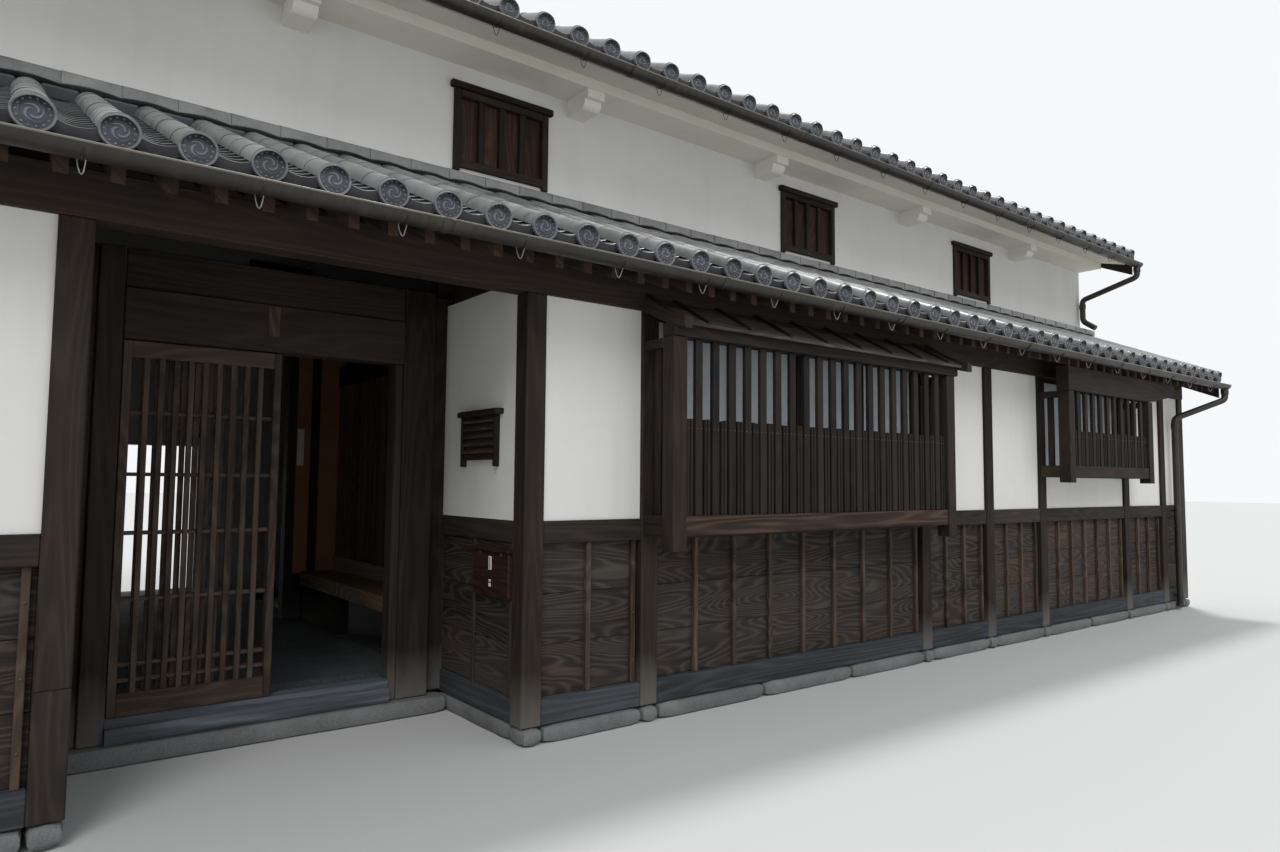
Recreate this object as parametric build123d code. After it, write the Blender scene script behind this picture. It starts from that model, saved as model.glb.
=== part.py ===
from build123d import *
import math
import os

# Townhouse with a pent-roofed front aisle, a recessed entrance and a low plastered upper storey.
# Millimetres. +Z is up, the street side faces -Y and the origin is on the ground under the middle.

# Street front: the bays from left to right, between the middles of their posts
LEFT_BAY = 2000.0
GATE_BAY = 2216.0
STRIP_BAY = 839.0
LATTICE_BAY = 2980.0
PLASTER_BAY = 1010.0
PANEL_BAY = 985.0
SMALL_BAY = 1895.0
CORNER_BAY = 1010.0
END_BAY = 575.0
BATTEN_COUNTS = (6, 0, 2, 8, 3, 3, 6, 3, 1)

# Depths
PORCH_DEPTH = 990.0
DOOR_BACK = 98.0
MAIN_DEPTH = 6000.0
PENT_OVERHANG = 394.0
MAIN_OVERHANG = 666.0

# Heights of the street front, one above the other
PLINTH_HEIGHT = 100.0
SILL_HEIGHT = 144.0
WAINSCOT_HEIGHT = 873.0
RAIL_HEIGHT = 131.0
PLASTER_HEIGHT = 1313.0
BEAM_HEIGHT = 208.0
PENT_SLOPE = 0.43
MAIN_SLOPE = 0.45

# Foundation
STONE_LENGTH = 900.0
STONE_JOINT = 6.0
STONE_SPREAD = 20.0
STONE_PAD = 10.0

# Timber and plaster sections
POST = 130.0
BEAM_PROUD = 10.0
SILL_INSET = 5.0
BOARD_INSET = 60.0
BOARD_THICK = 25.0
BATTEN_WIDTH = 32.0
BATTEN_THICK = 30.0
BATTEN_EDGE = 24.0
PLASTER_INSET = 25.0
PLASTER_THICK = 80.0
PORCH_INSET = 12.0
WALL_THICK = 150.0
SEAT = 0.3

# Roof timbers and tiles
RAFTER_WIDTH = 50.0
RAFTER_HEIGHT = 75.0
RAFTER_PITCH = 186.0
RAFTER_SETBACK = 60.0
RAFTER_MARGIN = 100.0
DECK_THICK = 94.0
DECK_SETBACK = 30.0
VERGE = 167.0
VERGE_SETBACK = 20.0
VERGE_THICK = 34.0
VERGE_HEIGHT = 120.0
TILE_PITCH = 274.0
PAN_THICK = 30.0
ROLL_RADIUS = 72.0
ROLL_SIDES = 4
FLASHING_DEPTH = 120.0
FLASHING_HEIGHT = 70.0
FLASHING_FALL = 47.0

# Ridge: courses of flat tiles under a round cap, with a rounded plate at each end
RIDGE_HALF = 130.0
RIDGE_COURSES = 3
COURSE_HEIGHT = 55.0
COURSE_STEP = 14.0
CAP_RADIUS = 78.0
END_TILE_HALF = 190.0
END_TILE_RISE = 110.0
END_TILE_THICK = 60.0
END_TILE_SETBACK = 30.0

# Gutters and downpipes
GUTTER_RADIUS = 55.0
GUTTER_WALL = 4.0
GUTTER_REACH = 96.0
PENT_GUTTER_DROP = 68.0
MAIN_GUTTER_DROP = 85.0
HOOK_WIDTH = 30.0
HOOK_THICK = 14.0
HOOK_PITCH = 900.0
PIPE_RADIUS = 37.0
PIPE_WALL = 3.0
PIPE_STANDOFF = 60.0
PIPE_END_INSET = 64.0
OUTLET_LENGTH = 125.0
CLIP_WIDTH = 40.0
CLIP_THICK = 24.0
LOWER_ELBOW_DROP = 240.0
LOWER_PIPE_INSET = 355.0
PIPE_FOOT = 40.0
UPPER_ELBOW_DROP = 230.0
UPPER_PIPE_INSET = 40.0
SHOE_CLEAR = 67.0
SHOE_REACH = 163.0
SHOE_FALL = 110.0

# Entrance door: two lattice leaves on two tracks
DOOR_LEFT_JAMB = 285.0
DOOR_RIGHT_JAMB = 441.0
DOOR_POST = 120.0
DOOR_STRIP = 52.0
DOOR_MAIN_POST = 206.0
INFILL_INSET = 25.0
INFILL_THICK = 25.0
PORCH_WALL_TOP = 2650.0
THRESHOLD_SEAT = 10.0
THRESHOLD_HEIGHT = 126.0
THRESHOLD_LEDGE = 34.0
THRESHOLD_LEDGE_DROP = 44.0
DOOR_HEIGHT = 1977.0
LINTEL_HEIGHT = 275.0
LINTEL_PROUD = 10.0
HEAD_BEAM_HEIGHT = 215.0
TIE_WIDTH = 66.0
TIE_DROP = 8.0
TIE_HEIGHT = 178.0
TIE_PROUD = 6.0
LEAF_LAP = 55.0
LEAF_THICK = 34.0
LEAF_SETBACK = 20.0
LEAF_STILE = 42.0
LEAF_TOP_RAIL = 88.0
LEAF_BOTTOM_RAIL = 118.0
FRONT_LEAF_BARS = 9
REAR_LEAF_BARS = 10
LEAF_BAR_WIDTH = 28.0
LEAF_BAR_DEPTH = 18.0
LEAF_CROSS_RAIL = 20.0
LEAF_CROSS_DEPTH = 10.0
LEAF_CROSS_HEIGHTS = (182.0, 264.0, 600.0, 948.0, 1259.0, 1588.0)
DOOR_CLEAR = 6.0

# Lattices that stand out from the wall
LATTICE_REACH = 302.0
LATTICE_POST = 110.0
LATTICE_SIDE = 90.0
LATTICE_EDGE = 35.0
LATTICE_TIE = 60.0
MAIN_BAR = 58.0
THIN_BAR = 20.0
BAR_DEPTH = 30.0
BAR_INSET = 20.0
NUKI_HEIGHT = 36.0
NUKI_DEPTH = 14.0
NUKI_DROP = 60.0

# The big bay's lattice, from its foot up
BAY_RAIL_BOTTOM = 1150.0
BAY_FOOT_DROP = 92.0
BAY_RAIL_HEIGHT = 123.0
BAY_THIN_HEIGHT = 594.0
BAY_OPEN_HEIGHT = 498.0
BAY_BEAM_HEIGHT = 86.0
BAY_BARS = 19
BAY_WANE = 45.0

# The small bay's lattice, under a tapered beam that carries the rafters
SMALL_RAIL_BOTTOM = 1557.0
SMALL_FOOT_DROP = 52.0
SMALL_RAIL_HEIGHT = 115.0
SMALL_THIN_HEIGHT = 342.0
SMALL_OPEN_HEIGHT = 386.0
SMALL_BEAM_TAPER = 110.0
SMALL_BEAM_TAIL = 595.0
SMALL_BARS = 10

# The board canopy over the big bay, and the carved arms at its ends
CANOPY_RISE = 170.0
CANOPY_DRIP = 40.0
CANOPY_BOARD = 22.0
CANOPY_BATTENS = 8
CANOPY_BATTEN_WIDTH = 26.0
CANOPY_BATTEN_THICK = 18.0
ARM_WIDTH = 62.0
ARM_RISE = 48.0
ARM_DEPTH = 116.0
ARM_TIP_DEPTH = 84.0
ARM_NOSE = 48.0
ARM_SAG = 28.0

# Paper screens behind the lattices
SCREEN_INSET = 70.0
SCREEN_WIDTH = 760.0
SCREEN_DEPTH = 30.0
SCREEN_EDGE = 40.0
SCREEN_SHEET = 3.0

# Upper storey
WINDOW_GAP = 24.0
UPPER_WINDOW_X = (-2145.0, 1200.0, 4098.0)
UPPER_WINDOW_WIDTH = 768.0
UPPER_WINDOW_HEIGHT = 564.0
UPPER_WINDOW_RAIL = 60.0
UPPER_WINDOW_EDGE = 50.0
UPPER_WINDOW_PROUD = 25.0
UPPER_WINDOW_DEPTH = 100.0
UPPER_HEAD_HEIGHT = 48.0
UPPER_HEAD_SPREAD = 30.0
UPPER_HEAD_PROUD = 45.0
SHUTTER_INSET = 20.0
SHUTTER_THICK = 25.0
SOFFIT_GAP = 129.0
SOFFIT_REACH = 300.0
SOFFIT_STEP = 75.0
SOFFIT_EDGE = 20.0
EAVE_RISE = 194.0
BRACKET_X = (-5750.0, -3613.0, -1509.0, 536.0, 2773.0, 5030.0)
BRACKET_WIDTH = 150.0
BRACKET_REACH = 290.0
BRACKET_HEIGHT = 130.0
BRACKET_NOSE = 45.0
FRAME_LAP = 33.0
FRAME_HEIGHT = 290.0
REAR_DOOR_OFFSET = 805.0
REAR_DOOR_WIDTH = 930.0
REAR_DOOR_HEIGHT = 1760.0

# Fittings on the right-hand wall of the porch
LOUVRE_FROM_POST = 285.0
LOUVRE_WIDTH = 465.0
LOUVRE_BOTTOM = 1604.0
LOUVRE_HEIGHT = 270.0
LOUVRE_STILE = 34.0
LOUVRE_DEPTH = 40.0
LOUVRE_LEG = 42.0
LOUVRE_SLATS = 5
LOUVRE_SLAT_THICK = 12.0
LOUVRE_HEAD = 35.0
LOUVRE_HEAD_SPREAD = 48.0
BOX_FROM_POST = 145.0
BOX_WIDTH = 440.0
BOX_BOTTOM = 795.0
BOX_HEIGHT = 262.0
BOX_DEPTH = 40.0
BOX_LID = 22.0

# What shows through the entrance
EARTH_FLOOR_Z = 190.0
FLOOR_GAP = 20.0
RAISED_INSET = 111.0
RAISED_WIDTH = 1750.0
RAISED_DEPTH = 2582.0
RAISED_FLOOR_Z = 615.0
RAISED_BEAM = 120.0
RAISED_LEG = 100.0
RAISED_BOARD = 40.0
PARTITION_POSTS = (-150.0, 60.0, 386.0)
PARTITION_POST = 78.0
PARTITION_INSET = 20.0
PARTITION_THICK = 80.0
STEP_SILL_INSET = 305.0
STEP_SILL_WIDTH = 80.0
STEP_SILL_HEIGHT = 135.0
PLANK_INSET = 10.0
PLANK_THICK = 30.0
PLANK_LENGTH = 1250.0
PLANK_STILE = 60.0
PLANK_HEAD_BOTTOM = 2370.0
PLANK_HEAD = 190.0

os.makedirs("parts", exist_ok=True)

# Places worked out from the sizes above
BAY_WIDTHS = (LEFT_BAY, GATE_BAY, STRIP_BAY, LATTICE_BAY, PLASTER_BAY, PANEL_BAY, SMALL_BAY, CORNER_BAY, END_BAY)
POST_X = [sum(BAY_WIDTHS[:k]) - sum(BAY_WIDTHS) / 2 for k in range(len(BAY_WIDTHS) + 1)]
(LEFT_END_X, GATE_LEFT_X, GATE_RIGHT_X, BAY_LEFT_X, BAY_RIGHT_X, PANEL_POST_X, SMALL_LEFT_X, SMALL_RIGHT_X,
 CORNER_POST_X, RIGHT_END_X) = POST_X
END_FACE_X = RIGHT_END_X + POST / 2
ROOF_HALF = END_FACE_X + VERGE
TILE_ROWS = round(2 * ROOF_HALF / TILE_PITCH)

AISLE_DEPTH = PORCH_DEPTH + POST + DOOR_BACK
DEPTH_ALL = GUTTER_REACH + PENT_OVERHANG + AISLE_DEPTH + MAIN_DEPTH + MAIN_OVERHANG + GUTTER_REACH
FRONT_Y = -DEPTH_ALL / 2 + GUTTER_REACH + PENT_OVERHANG
PORCH_Y = FRONT_Y + PORCH_DEPTH
MAIN_Y = FRONT_Y + AISLE_DEPTH
REAR_Y = MAIN_Y + MAIN_DEPTH
RIDGE_Y = (MAIN_Y + REAR_Y) / 2
PENT_EAVE_Y = FRONT_Y - PENT_OVERHANG
MAIN_EAVE_Y = MAIN_Y - MAIN_OVERHANG
REAR_EAVE_Y = REAR_Y + MAIN_OVERHANG

SILL_TOP = PLINTH_HEIGHT + SILL_HEIGHT
RAIL_BOTTOM = SILL_TOP + WAINSCOT_HEIGHT
RAIL_TOP = RAIL_BOTTOM + RAIL_HEIGHT
BEAM_BOTTOM = RAIL_TOP + PLASTER_HEIGHT
BEAM_TOP = BEAM_BOTTOM + BEAM_HEIGHT

PENT_PAN = PAN_THICK / math.hypot(1, PENT_SLOPE)
PENT_DECK = PENT_PAN + DECK_THICK
PENT_UNDER = PENT_DECK + RAFTER_HEIGHT
MAIN_PAN = PAN_THICK / math.hypot(1, MAIN_SLOPE)
MAIN_DECK = MAIN_PAN + DECK_THICK
BEAM_FACE_Y = FRONT_Y - BEAM_PROUD
PENT_EAVE_Z = (BEAM_TOP + SEAT + PENT_UNDER * math.hypot(1, PENT_SLOPE) + ROLL_RADIUS
               - (BEAM_FACE_Y - PENT_EAVE_Y) * PENT_SLOPE)


def pent_z(y, drop=0.0):
    """Height of the pent roof's tile-bed line above a depth, less a drop square to the slope."""
    return PENT_EAVE_Z - ROLL_RADIUS + (y - PENT_EAVE_Y) * PENT_SLOPE - drop * math.hypot(1, PENT_SLOPE)


FLASHING_TOP = pent_z(MAIN_Y) + ROLL_RADIUS + FLASHING_HEIGHT
UPPER_WINDOW_BOTTOM = FLASHING_TOP + WINDOW_GAP
UPPER_WINDOW_TOP = UPPER_WINDOW_BOTTOM + UPPER_WINDOW_HEIGHT
SOFFIT_Z = UPPER_WINDOW_TOP + UPPER_HEAD_HEIGHT + SOFFIT_GAP
MAIN_EAVE_Z = SOFFIT_Z + EAVE_RISE
EAVES = ((PENT_EAVE_Y, PENT_EAVE_Z, -1, PENT_GUTTER_DROP), (MAIN_EAVE_Y, MAIN_EAVE_Z, -1, MAIN_GUTTER_DROP),
         (REAR_EAVE_Y, MAIN_EAVE_Z, 1, MAIN_GUTTER_DROP))
FRAME_TOP = pent_z(MAIN_Y, PENT_UNDER) + FRAME_LAP
FRAME_BOTTOM = FRAME_TOP - FRAME_HEIGHT
MAIN_POSTS = (GATE_LEFT_X, GATE_RIGHT_X, BAY_RIGHT_X, SMALL_LEFT_X)
REAR_DOOR_LEFT = GATE_LEFT_X + REAR_DOOR_OFFSET
REAR_DOOR_RIGHT = REAR_DOOR_LEFT + REAR_DOOR_WIDTH
REAR_DOOR_TOP = PLINTH_HEIGHT + REAR_DOOR_HEIGHT


def main_z(y, drop=0.0):
    """Height of the main roof's tile-bed line above a depth, on either slope."""
    run = min(y - MAIN_EAVE_Y, REAR_EAVE_Y - y)
    return MAIN_EAVE_Z - ROLL_RADIUS + run * MAIN_SLOPE - drop * math.hypot(1, MAIN_SLOPE)


DOOR_LEFT_X = GATE_LEFT_X + DOOR_LEFT_JAMB
DOOR_RIGHT_X = GATE_RIGHT_X - DOOR_RIGHT_JAMB
DOOR_FOOT = PLINTH_HEIGHT + THRESHOLD_SEAT
DOOR_BOTTOM = DOOR_FOOT + THRESHOLD_HEIGHT
DOOR_TOP = DOOR_BOTTOM + DOOR_HEIGHT
LINTEL_TOP = DOOR_TOP + LINTEL_HEIGHT
HEAD_TOP = LINTEL_TOP + HEAD_BEAM_HEIGHT
DOOR_REAR_Y = PORCH_Y + POST
LEAF_WIDTH = (DOOR_RIGHT_X - DOOR_LEFT_X) / 2 + LEAF_LAP
PORCH_LEFT_X = GATE_LEFT_X + POST / 2 - PORCH_INSET
PORCH_RIGHT_X = GATE_RIGHT_X - POST / 2 + PORCH_INSET
PORCH_WALLS = ((PORCH_LEFT_X - PLASTER_THICK, PORCH_LEFT_X), (PORCH_RIGHT_X, PORCH_RIGHT_X + PLASTER_THICK))
RAISED_EDGE_X = GATE_RIGHT_X - RAISED_INSET
RAISED_END_X = RAISED_EDGE_X + RAISED_WIDTH
INNER_Y = MAIN_Y + 2 * POST
PARTITION_Y = INNER_Y + RAISED_DEPTH
BAY_BEAM_TOP = (BAY_RAIL_BOTTOM + BAY_RAIL_HEIGHT + BAY_THIN_HEIGHT + BAY_OPEN_HEIGHT + BAY_BEAM_HEIGHT)
LATTICE_Y = FRONT_Y - LATTICE_REACH


def block(x0, x1, y0, y1, z0, z1):
    """A square-cornered block between two corners."""
    return Pos((x0 + x1) / 2, (y0 + y1) / 2, (z0 + z1) / 2) * Box(x1 - x0, y1 - y0, z1 - z0)


def wide_block(x, width, y0, y1, z0, z1):
    """A block of a given width about its middle."""
    return block(x - width / 2, x + width / 2, y0, y1, z0, z1)


def prism_x(points, x0, x1):
    """An outline of (y, z) points drawn out along X."""
    wire = Wire.make_polygon([Vector(x0, y, z) for y, z in points], close=True)
    return Solid.extrude(Face(wire), Vector(x1 - x0, 0, 0))


def prism_y(points, y0, y1):
    """An outline of (x, z) points drawn out along Y."""
    wire = Wire.make_polygon([Vector(x, y0, z) for x, z in points], close=True)
    return Solid.extrude(Face(wire), Vector(0, y1 - y0, 0))


def profile_x(edges, x0, x1):
    """A closed outline of lines and arcs in the plane X = x0, drawn out along X."""
    return Solid.extrude(Face(Wire(edges)), Vector(x1 - x0, 0, 0))


def line(x, start, end):
    return Edge.make_line(Vector(x, *start), Vector(x, *end))


def arc(x, start, middle, end):
    return Edge.make_three_point_arc(Vector(x, *start), Vector(x, *middle), Vector(x, *end))


def save(node, solids):
    """Write the solids of one node to its own file."""
    pieces = []
    for solid in solids:
        pieces.extend(solid.solids())
    export_step(Compound(children=pieces, label=node), f"parts/{node}.step")


def bays():
    """The wall bays of the street front without the open gate: left edge, right edge and battens."""
    walls = []
    for left, right, battens in zip(POST_X[:-1], POST_X[1:], BATTEN_COUNTS):
        if left != GATE_LEFT_X:
            walls.append((left + POST / 2, right - POST / 2, battens))
    return walls


def foundation():
    """Stones under every sill, post and wall."""
    stones = []
    front0 = FRONT_Y - STONE_SPREAD
    front1 = FRONT_Y + POST + STONE_SPREAD
    pad0 = front0 - STONE_PAD
    pad1 = front1 + STONE_PAD
    for a, b, _ in bays():
        count = max(1, round((b - a) / STONE_LENGTH))
        step = (b - a) / count
        for k in range(count):
            stones.append(block(a + k * step + STONE_JOINT / 2, a + (k + 1) * step - STONE_JOINT / 2,
                                front0, front1, 0, PLINTH_HEIGHT))
    for x in POST_X:
        stones.append(wide_block(x, POST, pad0, pad1, 0, PLINTH_HEIGHT))
    for x in (GATE_LEFT_X, GATE_RIGHT_X):
        stones.append(wide_block(x, POST, pad1, DOOR_REAR_Y, 0, PLINTH_HEIGHT))
    stones.append(block(GATE_LEFT_X + POST / 2, GATE_RIGHT_X - POST / 2, PORCH_Y - STONE_SPREAD - THRESHOLD_LEDGE,
                        DOOR_REAR_Y, 0, DOOR_FOOT))
    side1 = REAR_Y - WALL_THICK - STONE_SPREAD
    for a, b in ((-END_FACE_X, -END_FACE_X + WALL_THICK), (END_FACE_X - WALL_THICK, END_FACE_X)):
        stones.append(block(a - STONE_SPREAD, b + STONE_SPREAD, pad1, side1, 0, PLINTH_HEIGHT))
    stones.append(block(-END_FACE_X - STONE_SPREAD, END_FACE_X + STONE_SPREAD, side1, REAR_Y + STONE_SPREAD,
                        0, PLINTH_HEIGHT))
    for x in MAIN_POSTS:
        stones.append(wide_block(x, 2 * POST, MAIN_Y, INNER_Y, 0, PLINTH_HEIGHT))
    save("foundation_stones", stones)


def front_frame():
    """Posts, sills, rails and the long beam of the street front."""
    save("front_posts", [wide_block(x, POST, FRONT_Y, FRONT_Y + POST, PLINTH_HEIGHT, BEAM_BOTTOM) for x in POST_X])
    beam = [block(-END_FACE_X, END_FACE_X, BEAM_FACE_Y, FRONT_Y + POST, BEAM_BOTTOM, BEAM_TOP)]
    for x0, x1 in PORCH_WALLS:
        beam.append(block(x0, x1, FRONT_Y + POST, PORCH_Y, PORCH_WALL_TOP, BEAM_TOP))
    save("front_beam", beam)
    y0 = FRONT_Y + SILL_INSET
    y1 = FRONT_Y + POST - SILL_INSET
    save("front_sills", [block(a, b, y0, y1, PLINTH_HEIGHT, SILL_TOP) for a, b, _ in bays()])
    save("wainscot_rails", [block(a, b, y0, y1, RAIL_BOTTOM, RAIL_TOP) for a, b, _ in bays()])


def wainscot():
    """Boards between sill and rail, each panel with its upright battens, the last beside the right post."""
    back = FRONT_Y + BOARD_INSET
    panels = []
    for a, b, count in bays():
        panel = block(a, b, back, back + BOARD_THICK, SILL_TOP, RAIL_BOTTOM)
        last = b - BATTEN_EDGE - BATTEN_WIDTH / 2
        step = (last - a) / count
        battens = [wide_block(last - k * step, BATTEN_WIDTH, back - BATTEN_THICK, back, SILL_TOP, RAIL_BOTTOM)
                   for k in range(count)]
        panels.append(panel.fuse(*battens))
    save("wainscot_panels", panels)


def front_plaster():
    """White plaster over the rail, and paper screens where a lattice stands in front."""
    front = FRONT_Y + PLASTER_INSET
    panels = []
    screens = []
    frames = []
    screen_bottom = {BAY_LEFT_X: RAIL_TOP, SMALL_LEFT_X: SMALL_RAIL_BOTTOM}
    for a, b, _ in bays():
        bottom = screen_bottom.get(a - POST / 2)
        if bottom is None:
            panels.append(block(a, b, front, front + PLASTER_THICK, RAIL_TOP, BEAM_BOTTOM))
            continue
        if bottom > RAIL_TOP:
            panels.append(block(a, b, front, front + PLASTER_THICK, RAIL_TOP, bottom))
        frames_here, screens_here = paper_screens(a, b, bottom, BEAM_BOTTOM)
        frames += frames_here
        screens += screens_here
    save("front_plaster", panels)
    save("screen_frames", frames)
    save("screen_paper", screens)


def paper_screens(a, b, z0, z1):
    """Paper screens behind a lattice: a timber frame round each sheet."""
    y0 = FRONT_Y + SCREEN_INSET
    middle = y0 + SCREEN_DEPTH / 2
    count = max(2, round((b - a) / SCREEN_WIDTH))
    step = (b - a) / count
    frames = []
    sheets = []
    for k in range(count):
        left = a + k * step
        right = left + step
        inner = (left + SCREEN_EDGE, right - SCREEN_EDGE)
        outer = block(left, right, y0, y0 + SCREEN_DEPTH, z0, z1)
        frames.append(outer - block(*inner, y0, y0 + SCREEN_DEPTH, z0 + SCREEN_EDGE, z1 - SCREEN_EDGE))
        sheets.append(block(*inner, middle, middle + SCREEN_SHEET, z0 + SCREEN_EDGE, z1 - SCREEN_EDGE))
    return frames, sheets


def porch():
    """The recessed entrance: side walls, door posts, threshold, lintel and the head beam over it."""
    y0 = FRONT_Y + POST
    infill_y = DOOR_REAR_Y - INFILL_THICK
    plaster = []
    wainscot_pieces = []
    for (x0, x1), y1 in zip(PORCH_WALLS, (PORCH_Y, infill_y)):
        plaster.append(block(x0, x1, y0, y1, RAIL_TOP, PORCH_WALL_TOP))
        wainscot_pieces.append(block(x0, x1, y0, y1, PLINTH_HEIGHT, SILL_TOP))
        wainscot_pieces.append(block(x0, x1, y0, y1, RAIL_BOTTOM, RAIL_TOP))
        wainscot_pieces.append(block(x0 + PORCH_INSET, x1 - PORCH_INSET, y0, y1, SILL_TOP, RAIL_BOTTOM))
    save("porch_plaster", plaster)
    save("porch_wainscot", wainscot_pieces)

    strip_x = DOOR_RIGHT_X + DOOR_STRIP
    post_x = strip_x + DOOR_MAIN_POST
    save("door_posts", [
        block(PORCH_WALLS[0][0], DOOR_LEFT_X - DOOR_POST, PORCH_Y + INFILL_INSET, DOOR_REAR_Y - INFILL_INSET,
              DOOR_FOOT, HEAD_TOP),
        block(DOOR_LEFT_X - DOOR_POST, DOOR_LEFT_X, PORCH_Y, DOOR_REAR_Y, DOOR_FOOT, HEAD_TOP),
        block(DOOR_RIGHT_X, strip_x, PORCH_Y + LINTEL_PROUD, DOOR_REAR_Y, DOOR_FOOT, DOOR_TOP),
        block(strip_x, post_x, PORCH_Y, DOOR_REAR_Y, DOOR_FOOT, HEAD_TOP),
        block(post_x, PORCH_WALLS[1][1], infill_y, DOOR_REAR_Y, DOOR_FOOT, HEAD_TOP)])
    ledge_y = PORCH_Y - THRESHOLD_LEDGE
    save("door_threshold", [
        block(DOOR_LEFT_X, DOOR_RIGHT_X, PORCH_Y, DOOR_REAR_Y, DOOR_FOOT, DOOR_BOTTOM)
        + block(DOOR_LEFT_X, DOOR_RIGHT_X, ledge_y, PORCH_Y, DOOR_FOOT, DOOR_BOTTOM - THRESHOLD_LEDGE_DROP)])
    tie_x = (DOOR_LEFT_X + DOOR_RIGHT_X) / 2
    tie_top = LINTEL_TOP - TIE_DROP
    lintel_y = PORCH_Y - LINTEL_PROUD
    lintel = block(DOOR_LEFT_X, strip_x, lintel_y, DOOR_REAR_Y, DOOR_TOP, LINTEL_TOP)
    tie = wide_block(tie_x, TIE_WIDTH, lintel_y - TIE_PROUD, lintel_y, tie_top - TIE_HEIGHT, tie_top)
    head = block(DOOR_LEFT_X, strip_x, PORCH_Y + LINTEL_PROUD, DOOR_REAR_Y, LINTEL_TOP, HEAD_TOP)
    save("door_lintel", [lintel.fuse(tie, head)])


def porch_fittings():
    """The louvre and the letter box on the porch's right-hand wall, which faces -X."""
    wall = PORCH_RIGHT_X
    y0 = FRONT_Y + LOUVRE_FROM_POST
    y1 = y0 + LOUVRE_WIDTH
    face = wall - LOUVRE_DEPTH
    z1 = LOUVRE_BOTTOM + LOUVRE_HEIGHT
    inner = (y0 + LOUVRE_STILE, y1 - LOUVRE_STILE)
    pieces = [block(face, wall, y0, inner[0], LOUVRE_BOTTOM - LOUVRE_LEG, z1),
              block(face, wall, inner[1], y1, LOUVRE_BOTTOM - LOUVRE_LEG, z1),
              block(face, wall, *inner, LOUVRE_BOTTOM, LOUVRE_BOTTOM + LOUVRE_STILE),
              block(face - LOUVRE_STILE / 2, wall, y0 - LOUVRE_HEAD_SPREAD, y1 + LOUVRE_HEAD_SPREAD,
                    z1, z1 + LOUVRE_HEAD)]
    low = LOUVRE_BOTTOM + LOUVRE_STILE
    step = (z1 - low) / LOUVRE_SLATS
    for k in range(LOUVRE_SLATS):
        z = low + (k + 0.5) * step
        section = [(face, z - step / 4), (wall, z + step / 4), (wall, z + step / 4 + LOUVRE_SLAT_THICK),
                   (face, z - step / 4 + LOUVRE_SLAT_THICK)]
        pieces.append(prism_y(section, *inner))
    save("porch_louvre", [pieces[0].fuse(*pieces[1:])])

    board_x = PORCH_RIGHT_X + PORCH_INSET
    y0 = FRONT_Y + BOX_FROM_POST
    y1 = y0 + BOX_WIDTH
    body = block(board_x - BOX_DEPTH, board_x, y0, y1, BOX_BOTTOM, BOX_BOTTOM + BOX_HEIGHT)
    lid = block(board_x - BOX_DEPTH - BOX_LID / 2, board_x, y0 - BOX_LID / 2, y1 + BOX_LID / 2,
                BOX_BOTTOM + BOX_HEIGHT, BOX_BOTTOM + BOX_HEIGHT + BOX_LID)
    save("letter_box", [body + lid])


def door_leaf(y, count):
    """One sliding lattice leaf: stiles, rails, upright bars and thin cross rails behind them."""
    x0 = DOOR_LEFT_X + DOOR_CLEAR
    x1 = x0 + LEAF_WIDTH
    z0 = DOOR_BOTTOM + SEAT
    z1 = DOOR_TOP - DOOR_CLEAR
    inner0 = x0 + LEAF_STILE
    inner1 = x1 - LEAF_STILE
    low = z0 + LEAF_BOTTOM_RAIL
    high = z1 - LEAF_TOP_RAIL
    leaf = block(x0, x1, y, y + LEAF_THICK, z0, z1) - block(inner0, inner1, y, y + LEAF_THICK, low, high)
    step = (inner1 - inner0) / (count + 1)
    bar_y = y + (LEAF_THICK - LEAF_BAR_DEPTH - LEAF_CROSS_DEPTH) / 2
    cross_y = bar_y + LEAF_BAR_DEPTH
    bars = [wide_block(inner0 + k * step, LEAF_BAR_WIDTH, bar_y, cross_y, low, high)
            for k in range(1, count + 1)]
    for height in LEAF_CROSS_HEIGHTS:
        z = z0 + height - LEAF_CROSS_RAIL / 2
        bars.append(block(inner0, inner1, cross_y, cross_y + LEAF_CROSS_DEPTH, z, z + LEAF_CROSS_RAIL))
    return leaf.fuse(*bars)


def doors():
    front_y = PORCH_Y + LEAF_SETBACK
    save("front_door_leaf", [door_leaf(front_y, FRONT_LEAF_BARS)])
    save("rear_door_leaf", [door_leaf(front_y + LEAF_THICK + DOOR_CLEAR, REAR_LEAF_BARS)])


def lattice_frame(x0, x1, foot, rail, beam):
    """Corner posts, rail and side ties of a lattice; rail and beam are pairs of heights."""
    y1 = LATTICE_Y + LATTICE_POST
    pieces = []
    for x in (x0, x1 - LATTICE_POST):
        pieces.append(block(x, x + LATTICE_POST, LATTICE_Y, y1, foot, beam[0]))
        middle = x + LATTICE_POST / 2
        for low, high in (rail, (beam[0] - LATTICE_TIE, beam[0])):
            pieces.append(wide_block(middle, LATTICE_SIDE, y1, FRONT_Y, low, high))
        pieces.append(wide_block(middle, BAR_DEPTH, (y1 + FRONT_Y - MAIN_BAR) / 2, (y1 + FRONT_Y + MAIN_BAR) / 2,
                                 rail[1], beam[0] - LATTICE_TIE))
    return pieces


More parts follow.
